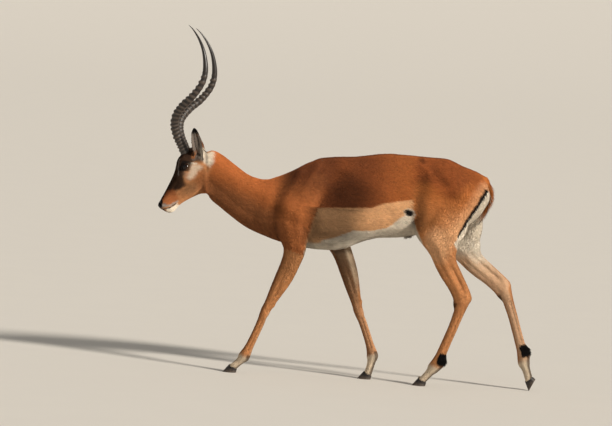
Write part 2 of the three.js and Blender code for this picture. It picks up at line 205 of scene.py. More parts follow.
def new_object(name: str, mesh: Mesh) -> Object:
    """An object that shows a mesh."""
    made = bpy.data.objects.new(name, mesh)
    bpy.context.scene.collection.objects.link(made)
    return made


def rows_of(source: bpy.types.bpy_prop_collection, key: str) -> Array:
    """A three-part property of a mesh's vertices or normals, as rows."""
    flat = np.empty(len(source) * 3, np.float32)
    source.foreach_get(key, flat)
    return flat.reshape(-1, 3).astype(float)


def points_of(mesh: Mesh) -> Array:
    """A mesh's vertices, as rows."""
    return rows_of(mesh.vertices, "co")


def normals_of(mesh: Mesh) -> Array:
    """A mesh's vertex normals, as rows."""
    return rows_of(mesh.vertex_normals, "vector")


def set_points(mesh: Mesh, points: Array) -> None:
    """Moves a mesh's vertices."""
    mesh.vertices.foreach_set("co", np.ascontiguousarray(points, np.float32).ravel())
    mesh.update()


def set_attribute(mesh: Mesh, name: str, values: Array) -> None:
    """Stores a number, a vector or a colour on each vertex."""
    kind, key = ("FLOAT", "value") if values.ndim == 1 else ("FLOAT_VECTOR", "vector")
    if name == COLOUR:
        kind, key = "FLOAT_COLOR", "color"
        values = np.column_stack([values, np.ones(len(values))])
    stored = np.ascontiguousarray(values, np.float32).ravel()
    mesh.attributes.new(name, kind, "POINT").data.foreach_set(key, stored)


def lofted(rings: Array, ends: bool = True) -> tuple[Array, Array]:
    """Triangles over rings of equally many points.

    Args:
        rings: an array of rings, each an array of points.
        ends: whether each end is closed by a fan.

    Returns:
        The points and the triangles.
    """
    count, sides, _ = rings.shape
    points = rings.reshape(-1, 3)
    row = np.arange(count - 1)[:, None] * sides
    k = np.arange(sides)[None, :]
    a = (row + k).ravel()
    b = (row + (k + 1) % sides).ravel()
    faces = [np.stack([a, b, b + sides], 1), np.stack([a, b + sides, a + sides], 1)]
    if ends:
        middles = np.array([rings[0].mean(axis=0), rings[-1].mean(axis=0)])
        points = np.vstack([points, middles])
        k = np.arange(sides)
        last = (count - 1) * sides
        faces.append(np.stack([(k + 1) % sides, k, np.full(sides, len(points) - 2)], 1))
        faces.append(np.stack([last + k, last + (k + 1) % sides, np.full(sides, len(points) - 1)], 1))
    return points, np.vstack(faces)


def baked(piece: Object) -> None:
    """Replaces a piece's mesh by what its modifiers make of it."""
    graph = bpy.context.evaluated_depsgraph_get()
    made = bpy.data.meshes.new_from_object(piece.evaluated_get(graph))
    old = piece.data
    piece.modifiers.clear()
    piece.data = made
    bpy.data.meshes.remove(old)


def relax(mesh: Mesh, weight: Array, rounds: int) -> None:
    """Moves each vertex towards the middle of its neighbours."""
    points = points_of(mesh)
    edges = np.empty(len(mesh.edges) * 2, np.int32)
    mesh.edges.foreach_get("vertices", edges)
    one, other = edges.reshape(-1, 2).T
    count = len(points)
    near = np.maximum(np.bincount(edges, minlength=count), 1)[:, None]
    for _ in range(rounds):
        sums = np.empty_like(points)
        for k, column in enumerate(points.T):
            sums[:, k] = np.bincount(one, column[other], count) + np.bincount(other, column[one], count)
        points += 0.5 * weight[:, None] * (sums / near - points)
    set_points(mesh, points)


def smooth_shaded(mesh: Mesh) -> None:
    """Shades a mesh smoothly."""
    mesh.polygons.foreach_set("use_smooth", np.ones(len(mesh.polygons), bool))


def smooth_piece(name: str, points: Array, faces: Array, **stored: Array) -> Object:
    """An object with a smoothly shaded mesh and with values stored on its vertices."""
    mesh = new_mesh(name, points, faces)
    for key, values in stored.items():
        set_attribute(mesh, key, values)
    smooth_shaded(mesh)
    return new_object(name, mesh)


# ---- Shader maths ----

Feed = "Value | float | Colour | Socket"


class Value:
    """A shader number, on which arithmetic adds Math nodes."""

    def __init__(self, graph: Graph, socket: Socket) -> None:
        """Wraps an output socket of a graph."""
        self.graph = graph
        self.socket = socket

    def __add__(self, other: Feed) -> Value:
        """The sum."""
        return self.graph.math("ADD", self, other)

    def __sub__(self, other: Feed) -> Value:
        """The difference."""
        return self.graph.math("SUBTRACT", self, other)

    def __rsub__(self, other: Feed) -> Value:
        """The difference, from a plain number."""
        return self.graph.math("SUBTRACT", other, self)

    def __mul__(self, other: Feed) -> Value:
        """The product."""
        return self.graph.math("MULTIPLY", self, other)

    def __pow__(self, other: Feed) -> Value:
        """The power."""
        return self.graph.math("POWER", self, other)

    __radd__ = __add__


class Graph:
    """The nodes of one material."""

    def __init__(self, name: str) -> None:
        """Starts a material with nothing but its output."""
        self.material = bpy.data.materials.new(name)
        self.material.use_nodes = True
        self.tree = self.material.node_tree
        self.tree.nodes.clear()
        self.output = self.tree.nodes.new("ShaderNodeOutputMaterial")

    def node(self, kind: str, settings: dict | None = None, **feeds: Feed) -> bpy.types.Node:
        """Adds a node.

        Args:
            kind: the node's type, without its "ShaderNode" in front.
            settings: its properties, set before its sockets; "stops" are a ramp's places and colours.
            **feeds: what goes into its sockets, by name with _ for a space, or _0, _1 and so on by number.

        Returns:
            The node.
        """
        made = self.tree.nodes.new("ShaderNode" + kind)
        for key, value in (settings or {}).items():
            if key == "stops":
                self._set_stops(made.color_ramp, value)
            else:
                setattr(made, key, value)
        for key, feed in feeds.items():
            numbered = key.startswith("_")
            socket = made.inputs[int(key[1:])] if numbered else made.inputs[key.replace("_", " ")]
            self.feed(socket, feed)
        return made

    @staticmethod
    def _set_stops(ramp: bpy.types.ColorRamp, stops: list[tuple[float, float]]) -> None:
        """Gives a ramp grey stops at the given places."""
        while len(ramp.elements) < len(stops):
            ramp.elements.new(0.5)
        for element, (place, grey) in zip(ramp.elements, stops):
            element.position = place
            element.color = (grey, grey, grey, 1)

    def feed(self, socket: Socket, feed: Feed) -> None:
        """Links a value or a socket, or sets a constant."""
        if isinstance(feed, Value):
            self.tree.links.new(feed.socket, socket)
        elif isinstance(feed, Socket):
            self.tree.links.new(feed, socket)
        elif isinstance(feed, tuple) and socket.type == "RGBA":
            socket.default_value = (*feed, 1)
        else:
            socket.default_value = feed

    def math(self, operation: str, *feeds: Feed) -> Value:
        """A Math node's result."""
        numbered = {f"_{i}": feed for i, feed in enumerate(feeds)}
        return Value(self, self.node("Math", {"operation": operation}, **numbered).outputs[0])

    def mix(self, share: Feed, first: Feed, second: Feed, blend: str = "MIX") -> Socket:
        """A colour between two others."""
        settings = {"data_type": "RGBA", "blend_type": blend}
        return self.node("Mix", settings, _0=share, _6=first, _7=second).outputs[2]

    def attribute(self, name: str) -> bpy.types.Node:
        """What is stored on the mesh under a name."""
        return self.node("Attribute", {"attribute_name": name})

    def number(self, name: str) -> Value:
        """A number that is stored on the mesh."""
        return Value(self, self.attribute(name).outputs["Fac"])

    def place(self, name: str | None = None, stretch: Point = (1, 1, 1)) -> Socket:
        """The place on the object, or a stored vector, scaled along each axis."""
        source = self.attribute(name).outputs["Vector"] if name else None
        source = source or self.node("TexCoord").outputs["Object"]
        return self.node("VectorMath", {"operation": "MULTIPLY"}, _0=source, _1=stretch).outputs[0]

    def noise(self, place: Socket, scale: float, detail: float = 3) -> Value:
        """Cloudy noise of about 0 to 1."""
        made = self.node("TexNoise", None, Vector=place, Scale=scale, Detail=detail, Roughness=0.6)
        return Value(self, made.outputs["Fac"])

    def ramp(self, value: Value, *stops: tuple[float, float]) -> Value:
        """A value sent through a ramp of greys."""
        return Value(self, self.node("ValToRGB", {"stops": list(stops)}, Fac=value).outputs["Color"])

    def bump(self, height: Value, strength: float, distance: float) -> Socket:
        """A normal bent by a height."""
        made = self.node("Bump", None, Height=height, Strength=strength, Distance=distance)
        return made.outputs["Normal"]

    def surface(self, **feeds: Feed) -> Material:
        """Ends the material with a Principled shader and returns it."""
        shader = self.node("BsdfPrincipled", None, **feeds)
        self.tree.links.new(shader.outputs[0], self.output.inputs["Surface"])
        return self.material


# ---- The animal's own lines ----


class Part(Enum):
    """The parts of the body that the coat is divided into."""

    HEAD = "head"
    NECK = "neck"
    TRUNK = "trunk"
    TAIL = "tail"
    LEG_FORE_LEFT = "leg_fore_left"
    LEG_FORE_RIGHT = "leg_fore_right"
    LEG_HIND_LEFT = "leg_hind_left"
    LEG_HIND_RIGHT = "leg_hind_right"
    EAR_LEFT = "ear_left"
    EAR_RIGHT = "ear_right"

    @property
    def family(self) -> str:
        """What kind of part it is, such as a leg."""
        return self.value.split("_")[0]


class Joint(Enum):
    """The four bones of a leg that show, from the top down. A hind leg's are thigh, shank and so on."""

    UPPER = 0
    LOWER = 1
    CANNON = 2
    PASTERN = 3


@dataclass(frozen=True)
class Bone:
    """A line down the middle of a stretch of the body.

    Hair lies along it, `hair` long and `width` wide at the root, and `reach` is how thick the flesh is.
    """

    part: Part
    start: Point
    end: Point
    reach: float
    hair: float
    width: float
    droop: float = 0.0

    @property
    def way(self) -> Array:
        """The direction from start to end."""
        return unit(np.array(self.end) - np.array(self.start))


@dataclass(frozen=True)
class Leg:
    """One leg's bones and hoof."""

    part: Part
    side: int
    fore: bool
    joints: tuple[Point, ...]
    toe: float
    pitch: float = 0.0

    def ends(self, bone: Joint) -> tuple[Array, Array]:
        """Where a bone starts and ends."""
        mirror = np.array([1, self.side, 1])
        return np.array(self.joints[bone.value]) * mirror, np.array(self.joints[bone.value + 1]) * mirror

    def _axes(self, bone: Joint) -> tuple[Array, Array, Array, Array]:
        """Where a bone starts and ends, its direction, and the direction ahead of it."""
        start, end = self.ends(bone)
        way = unit(end - start)
        return start, end, way, unit(np.array([way[2], 0, -way[0]]))

    def place(self, bone: Joint, share: float, ahead: float, out: float) -> Point:
        """A place beside a bone: `share` of the way down, `ahead` of it and `out` from the mid-line."""
        start, end, _, forwards = self._axes(bone)
        middle = start + share * (end - start)
        return tuple(middle + ahead * forwards + np.array([0, self.side * out, 0]))

    def measured(self, bone: Joint, points: Array) -> tuple[Array, Array, Array]:
        """How far down a bone points are, how far ahead of it and how far out from it."""
        start, end, way, forwards = self._axes(bone)
        share = (points - start) @ way / np.linalg.norm(end - start)
        middle = start + np.clip(share, 0, 1)[:, None] * (end - start)
        return share, (points - middle) @ forwards, (points - middle)[:, 1] * self.side


LEGS = (
    Leg(Part.LEG_FORE_LEFT, -1, True, (
        (-0.25, 0.076, 0.67), (-0.222, 0.08, 0.53), (-0.314, 0.072, 0.275), (-0.398, 0.065, 0.072),
        (-0.437, 0.061, 0.024)), toe=-0.485),
    Leg(Part.LEG_FORE_RIGHT, 1, True, (
        (-0.19, 0.076, 0.67), (-0.061, 0.08, 0.554), (0.052, 0.072, 0.29), (0.124, 0.063, 0.101),
        (0.115, 0.059, 0.028)), toe=0.066),
    Leg(Part.LEG_HIND_LEFT, -1, False, (
        (0.47, 0.066, 0.8), (0.348, 0.088, 0.6), (0.492, 0.076, 0.38), (0.393, 0.065, 0.082),
        (0.35, 0.061, 0.024)), toe=0.304),
    Leg(Part.LEG_HIND_RIGHT, 1, False, (
        (0.49, 0.066, 0.8), (0.427, 0.088, 0.57), (0.64, 0.078, 0.425), (0.753, 0.067, 0.117),
        (0.782, 0.062, 0.05)), toe=0.783, pitch=64),
)

TAIL_LINE = [(0.548, 0, 0.872), (0.566, 0, 0.835), (0.57, 0, 0.795), (0.553, 0, 0.745), (0.53, 0, 0.7),
             (0.503, 0, 0.664)]


# How thick each bone of a leg is fleshed, and how long and wide its hair is.
LEG_HAIR = [(0.06, 0.013, 0.0019), (0.034, 0.0095, 0.0014), (0.018, 0.007, 0.0011), (0.019, 0.007, 0.0011)]


def body_bones() -> list[Bone]:
    """Every line that hair follows, from the nose to the tail and the hooves."""
    bones = [
        Bone(Part.HEAD, (-0.802, 0, 0.662), (-0.755, 0, 0.738), 0.028, 0.0045, 0.001),
        Bone(Part.HEAD, (-0.755, 0, 0.738), (-0.7, 0, 0.845), 0.042, 0.006, 0.0012),
        Bone(Part.HEAD, (-0.745, 0, 0.668), (-0.62, 0, 0.755), 0.034, 0.0075, 0.0013),
        Bone(Part.HEAD, (-0.705, 0, 0.86), (-0.635, 0, 0.88), 0.042, 0.008, 0.0013),
        Bone(Part.NECK, (-0.61, 0, 0.84), (-0.48, 0, 0.765), 0.06, 0.012, 0.0019),
        Bone(Part.NECK, (-0.48, 0, 0.765), (-0.33, 0, 0.7), 0.08, 0.013, 0.002),
        Bone(Part.TRUNK, (-0.33, 0, 0.7), (-0.1, 0, 0.72), 0.115, 0.014, 0.0021, 0.7),
        Bone(Part.TRUNK, (-0.1, 0, 0.735), (0.25, 0, 0.775), 0.13, 0.0145, 0.0022, 0.35),
        Bone(Part.TRUNK, (0.25, 0, 0.79), (0.46, 0, 0.8), 0.115, 0.0145, 0.0022, 0.35),
        Bone(Part.TRUNK, (0.46, 0, 0.8), (0.515, 0, 0.77), 0.078, 0.0135, 0.0021, 0.7),
    ]
    for start, end in zip(TAIL_LINE, TAIL_LINE[1:]):
        bones.append(Bone(Part.TAIL, start, end, 0.03, 0.018, 0.0018))
    for leg in LEGS:
        for bone, sizes in zip(Joint, LEG_HAIR):
            start, end = leg.ends(bone)
            bones.append(Bone(leg.part, tuple(start), tuple(end), *sizes))
    for name, ear in EARS.items():
        bones.append(Bone(Part["EAR_" + name.upper()], ear.base, ear.tip, 0.02, 0.0055, 0.0011))
    return bones


class Lie:
    """How the coat lies: which part a place belongs to, which way hair runs there and how long it is."""

    def __init__(self) -> None:
        """Takes the body's bones."""
        self.bones = body_bones()
        self.parts = list(Part)

    def read(self, points: Array, normals: Array) -> tuple[Array, Array, Array, Array]:
        """Reads the lie of the coat.

        Args:
            points: places on the skin.
            normals: the skin's normals there.

        Returns:
            Each place's part, as its index in Part, the direction of its hair, square to the normal, and
            the hair's length and width.
        """
        nearest = np.full(len(points), np.inf)
        part = np.zeros(len(points), int)
        way = np.zeros_like(points)
        sizes = np.zeros((len(points), 2))
        total = np.zeros(len(points))
        for bone in self.bones:
            distance = to_segment(points, bone.start, bone.end)[1] / bone.reach
            closer = distance < nearest
            nearest[closer] = distance[closer]
            part[closer] = self.parts.index(bone.part)
            weight = (distance + 0.05) ** -5.0
            total += weight
            fall = np.zeros_like(points)
            fall[:, 2] = -bone.droop * np.abs(normals[:, 1])
            way += weight[:, None] * (bone.way + fall)
            sizes += weight[:, None] * np.array([bone.hair, bone.width])
        sizes /= total[:, None]
        return part, along_skin(way, normals), sizes[:, 0], sizes[:, 1]


# ---- Ears ----


@dataclass(frozen=True)
class Ear:
    """An upright leaf, cupped to the outside, as the skin goes round it."""

    side: int
    base: Point
    tip: Point
    half: float = 0.0235
    cup: float = 0.014
    thick: float = 0.0042
    rows: int = 46
    columns: int = 14

    def axes(self) -> tuple[Array, Array, Array]:
        """The ear's length, its unit direction across and its unit direction towards the head."""
        up = np.array(self.tip) - np.array(self.base)
        along = unit(up)
        across = unit(np.array([1, 0, 0]) - along[0] * along)
        return up, across, -self.side * np.cross(along, across)

    def _breadth(self, share: Array) -> Array:
        """Half the leaf's width, from base to tip."""
        return self.half * np.sqrt(np.clip(1 - ((share - 0.42) / 0.585) ** 2, 0.01, 1))

    def leaf(self, share: Array, sideways: Array) -> Array:
        """Places in the middle of the leaf's thickness, from base to tip and from -1 to 1 across."""
        up, across, inwards = self.axes()
        depth = self.cup * (1 - sideways**2) * (1 - 0.55 * share)
        curl = 0.004 * np.abs(sideways) ** 3 * (1 - share)
        return (
            np.array(self.base)
            + share[..., None] * up
            + (sideways * self._breadth(share))[..., None] * across
            + (depth - curl)[..., None] * inwards
        )

    def solid(self) -> tuple[Array, Array]:
        """The ear's closed surface, as points and triangles."""
        _, _, inwards = self.axes()
        share = np.linspace(-0.03, 0.995, self.rows)[:, None]
        across = np.cos(np.linspace(math.pi, 0, self.columns))[None, :]
        share, across = np.broadcast_arrays(share, across)
        half = 0.5 * self.thick * (0.35 + 0.65 * (1 - across**6)) * (1.25 - 0.5 * share)
        inner = self.leaf(share, across) + half[..., None] * inwards
        outer = self.leaf(share, across) - half[..., None] * inwards
        return lofted(np.concatenate([inner, outer[:, ::-1]], axis=1))

    def opening(self, points: Array) -> tuple[Array, Array, Array]:
        """How far up the ear points lie, how far across, and how far in front of the leaf's middle."""
        up, across, inwards = self.axes()
        from_base = points - np.array(self.base)
        share = from_base @ up / (up @ up)
        sideways = np.clip(from_base @ across / self._breadth(share), -1, 1)
        middle = self.leaf(share, sideways)
        return share, sideways, -(points - middle) @ inwards


EARS = {
    "left": Ear(-1, (-0.633, -0.045, 0.864), (-0.659, -0.096, 1.002)),
    "right": Ear(1, (-0.633, 0.045, 0.864), (-0.682, 0.094, 0.979)),
}


# ---- Eyes ----


@dataclass(frozen=True)
class EyeSeat:
    """Where an eyeball sits, the opening between its lids, and how far they stand out and fold."""

    side: int
    radius: float = 0.0172
    half_long: float = 0.0168
    half_high: float = 0.0116
    lid: float = 0.002
    upper_lid: float = 0.0008
    opened: float = 0.0045
    roll: float = 0.004
    crease: float = 0.0016
    reach: float = 0.045

    @property
    def centre(self) -> Array:
        """The middle of the ball."""
        return np.array([-0.69, self.side * 0.045, 0.838])

    def axes(self) -> tuple[Array, Array, Array]:
        """Unit directions out of the head, along the opening towards its rear corner, and over its top."""
        out = unit(np.array([-0.3, self.side * 0.94, 0.12]))
        rearwards = np.array([0.8, 0, 0.6])
        rearwards = unit(rearwards - (rearwards @ out) * out)
        upwards = np.cross(out, rearwards)
        return out, rearwards, upwards * np.sign(upwards[2])

    def measured(self, points: Array) -> tuple[Array, Array, Array, Array]:
        """Places from the ball's middle: along, over and out, and how many openings wide they lie."""
        out, rearwards, upwards = self.axes()
        at = points - self.centre
        along, over, outwards = at @ rearwards, at @ upwards, at @ out
        share = along / self.half_long
        width = np.hypot(share, over / (self.half_high * (1 - 0.42 * np.minimum(share**2, 1))))
        width = np.where(outwards > 0, width, 9.0)
        return along, over, outwards, width


EYES = {name: EyeSeat(side) for name, side in SIDES.items()}


# ---- Skin ----


@dataclass(frozen=True)
class Stroke:
    """A ridge (push above 0) or a hollow (below 0) along a line on the skin, fading over `reach`."""

    path: list[Point]
    reach: float
    push: float
    mirrored: bool = True

    def apply(self, points: Array, normals: Array) -> None:
        """Moves the points that the stroke reaches, in place."""
        for side in (-1, 1) if self.mirrored else (1,):
            path = [(x, side * y, z) for x, y, z in self.path]
            low = np.min(path, axis=0) - 2.5 * self.reach
            high = np.max(path, axis=0) + 2.5 * self.reach
            near = np.flatnonzero(((points > low) & (points < high)).all(axis=1))
            fall = np.exp(-((to_path(points[near], path) / self.reach) ** 2))
            points[near] += (self.push * fall)[:, None] * normals[near]


BODY_STROKES = [
    Stroke([(-0.585, 0.044, 0.775), (-0.5, 0.05, 0.715), (-0.4, 0.06, 0.655)], 0.024, -0.004),
    Stroke([(-0.541, 0.04, 0.86), (-0.461, 0.045, 0.795), (-0.38, 0.055, 0.765)], 0.028, 0.003),
    Stroke([(-0.255, 0.06, 0.83), (-0.282, 0.072, 0.772), (-0.307, 0.072, 0.695)], 0.028, -0.012),
    Stroke([(-0.13, 0.06, 0.88), (-0.175, 0.085, 0.79), (-0.235, 0.09, 0.7)], 0.019, 0.01),
    Stroke([(-0.25, 0.085, 0.7)], 0.036, 0.008),
    Stroke([(-0.262, 0.09, 0.66), (-0.225, 0.095, 0.625)], 0.011, -0.005),
    Stroke([(-0.18, 0.09, 0.75), (-0.205, 0.095, 0.68), (-0.195, 0.095, 0.6)], 0.02, 0.007),
    Stroke([(-0.225, 0.092, 0.75), (-0.252, 0.092, 0.69)], 0.008, -0.004),
    Stroke([(-0.055, 0.095, 0.85), (-0.062, 0.11, 0.785), (-0.08, 0.115, 0.73)], 0.04, -0.015),
    Stroke([(-0.1, 0.11, 0.76), (-0.13, 0.115, 0.69), (-0.15, 0.1, 0.62)], 0.022, -0.01),
    Stroke([(0.06, 0.12, 0.8), (0.08, 0.12, 0.7)], 0.06, 0.005),
    Stroke([(-0.3, 0, 0.6), (-0.335, 0, 0.64)], 0.03, 0.004, mirrored=False),
    Stroke([(0.285, 0.09, 0.85), (0.262, 0.112, 0.78), (0.262, 0.112, 0.715)], 0.036, -0.007),
    Stroke([(0.312, 0.11, 0.76), (0.288, 0.112, 0.71), (0.272, 0.108, 0.655)], 0.016, 0.006),
    Stroke([(0.22, 0.1, 0.85), (0.2, 0.11, 0.79)], 0.045, -0.005),
    Stroke([(0.3, 0.08, 0.905), (0.33, 0.082, 0.885)], 0.019, 0.009),
    Stroke([(0.28, 0.07, 0.925)], 0.009, -0.004),
    Stroke([(0.345, 0.088, 0.88), (0.372, 0.092, 0.85), (0.405, 0.095, 0.805)], 0.022, -0.007),
    Stroke([(0.44, 0.08, 0.87), (0.45, 0.09, 0.8)], 0.035, 0.004),
    Stroke([(0.22, 0.078, 0.905), (0.08, 0.08, 0.905)], 0.022, -0.004),
    Stroke([(0.535, 0.05, 0.845)], 0.022, 0.006),
    Stroke([(0.325, 0.105, 0.64), (0.345, 0.1, 0.605)], 0.022, 0.006),
    Stroke([(0.352, 0.105, 0.66), (0.372, 0.102, 0.61)], 0.01, -0.004),
    Stroke([(-0.12, 0, 0.915), (0.4, 0, 0.935)], 0.012, 0.0015, mirrored=False),
    Stroke([(0.552, 0.08, 0.69), (0.549, 0.08, 0.65)], 0.03, -0.005, mirrored=False),
    Stroke([(0.536, 0.08, 0.6)], 0.022, 0.004, mirrored=False),
]

HEAD_STROKES = [
    Stroke([(-0.59, 0.04, 0.815), (-0.592, 0.036, 0.78), (-0.596, 0.03, 0.745)], 0.015, 0.005),
    Stroke([(-0.601, 0.042, 0.868), (-0.608, 0.043, 0.84), (-0.609, 0.042, 0.8), (-0.604, 0.036, 0.77),
            (-0.598, 0.03, 0.74)], 0.014, 0.0085),
    Stroke([(-0.64, 0.046, 0.79), (-0.64, 0.044, 0.755)], 0.022, 0.003),
    Stroke([(-0.661, 0.052, 0.792), (-0.7, 0.043, 0.752), (-0.73, 0.033, 0.722)], 0.006, 0.0022),
    Stroke([(-0.705, 0.044, 0.79), (-0.735, 0.034, 0.75)], 0.009, -0.0028),
    Stroke([(-0.664, 0.05, 0.868)], 0.012, -0.003),
    Stroke([(-0.712, 0.04, 0.862), (-0.695, 0.05, 0.866), (-0.676, 0.053, 0.86)], 0.007, 0.0035),
    Stroke([(-0.722, 0.036, 0.812), (-0.73, 0.033, 0.79)], 0.008, -0.0025),
    Stroke([(-0.65, 0.038, 0.738), (-0.69, 0.032, 0.722), (-0.72, 0.026, 0.704)], 0.007, 0.002),
    Stroke([(-0.655, 0.038, 0.75), (-0.695, 0.036, 0.735)], 0.006, -0.0018),
    Stroke([(-0.798, 0.02, 0.688), (-0.789, 0.026, 0.682), (-0.783, 0.027, 0.672)], 0.0045, 0.002),
    Stroke([(-0.7985, 0.017, 0.678), (-0.791, 0.023, 0.676), (-0.786, 0.025, 0.669)], 0.0028, -0.0075),
    Stroke([(-0.8035, 0, 0.684), (-0.8, 0, 0.66)], 0.0025, -0.002, mirrored=False),
    Stroke([(-0.796, 0.008, 0.652), (-0.782, 0.02, 0.653), (-0.765, 0.026, 0.658), (-0.748, 0.028, 0.664),
            (-0.729, 0.029, 0.68)], 0.0024, -0.0045),
    Stroke([(-0.782, 0.02, 0.661), (-0.755, 0.026, 0.669), (-0.735, 0.028, 0.683)], 0.005, 0.0018),
    Stroke([(-0.77, 0.018, 0.646), (-0.745, 0.022, 0.652)], 0.007, 0.0018),
    Stroke([(-0.72, 0, 0.925), (-0.69, 0, 0.935)], 0.02, -0.004, mirrored=False),
]


def leg_strokes(leg: Leg) -> list[Stroke]:
    """The tendons, joints and hollows of one leg."""
    strokes = []
    upper, lower, cannon, pastern = Joint

    def add(bone: Joint, spots: list[tuple[float, float, float]], reach: float, push: float) -> None:
        """A stroke through places beside one bone."""
        path = [leg.place(bone, *spot) for spot in spots]
        strokes.append(Stroke(path, reach, push, mirrored=False))

    if leg.fore:
        add(upper, [(1.0, -0.046, 0.028)], 0.02, 0.006)
        add(lower, [(0.92, -0.026, 0)], 0.01, 0.005)
        add(cannon, [(0.17, -0.022, 0)], 0.012, -0.004)
        add(cannon, [(0.02, 0.018, 0)], 0.013, 0.002)
        for out in (-1, 1):
            add(lower, [(0.1, -0.01, out * 0.034), (0.75, -0.01, out * 0.024)], 0.008, -0.0032)
            add(lower, [(0.95, 0.006, out * 0.019)], 0.01, 0.0025)
            add(cannon, [(0.06, 0.004, out * 0.018)], 0.009, 0.002)
            add(cannon, [(0.2, -0.005, out * 0.016), (0.84, -0.006, out * 0.016)], 0.0045, -0.0032)
    else:
        add(upper, [(0.95, 0.062, 0.03)], 0.026, 0.006)
        add(lower, [(0.1, 0.036, 0.022)], 0.016, -0.004)
        add(upper, [(0.25, -0.03, 0.052), (0.8, -0.055, 0.05)], 0.018, -0.003)
        add(cannon, [(0.2, 0.01, 0)], 0.014, -0.003)
        for out in (-1, 1):
            add(lower, [(0.34, -0.027, out * 0.026), (0.95, -0.019, out * 0.018)], 0.0115, -0.0045)
            add(lower, [(0.52, -0.025, out * 0.023), (0.88, -0.02, out * 0.018)], 0.0095, -0.006)
            add(lower, [(0.25, 0.01, out * 0.034), (0.7, 0.012, out * 0.024)], 0.007, -0.0025)
            add(cannon, [(0.06, -0.008, out * 0.021)], 0.011, 0.003)
            add(cannon, [(0.22, -0.02, out * 0.015), (0.84, -0.018, out * 0.014)], 0.0048, -0.0036)
    for out in (-1, 1):
        add(cannon, [(0.95, -0.005, out * 0.019)], 0.011, 0.0025)
    for ahead in (-0.02, 0.02):
        add(pastern, [(0.35, ahead, 0), (1.05, ahead, 0)], 0.006, -0.006)
    return strokes


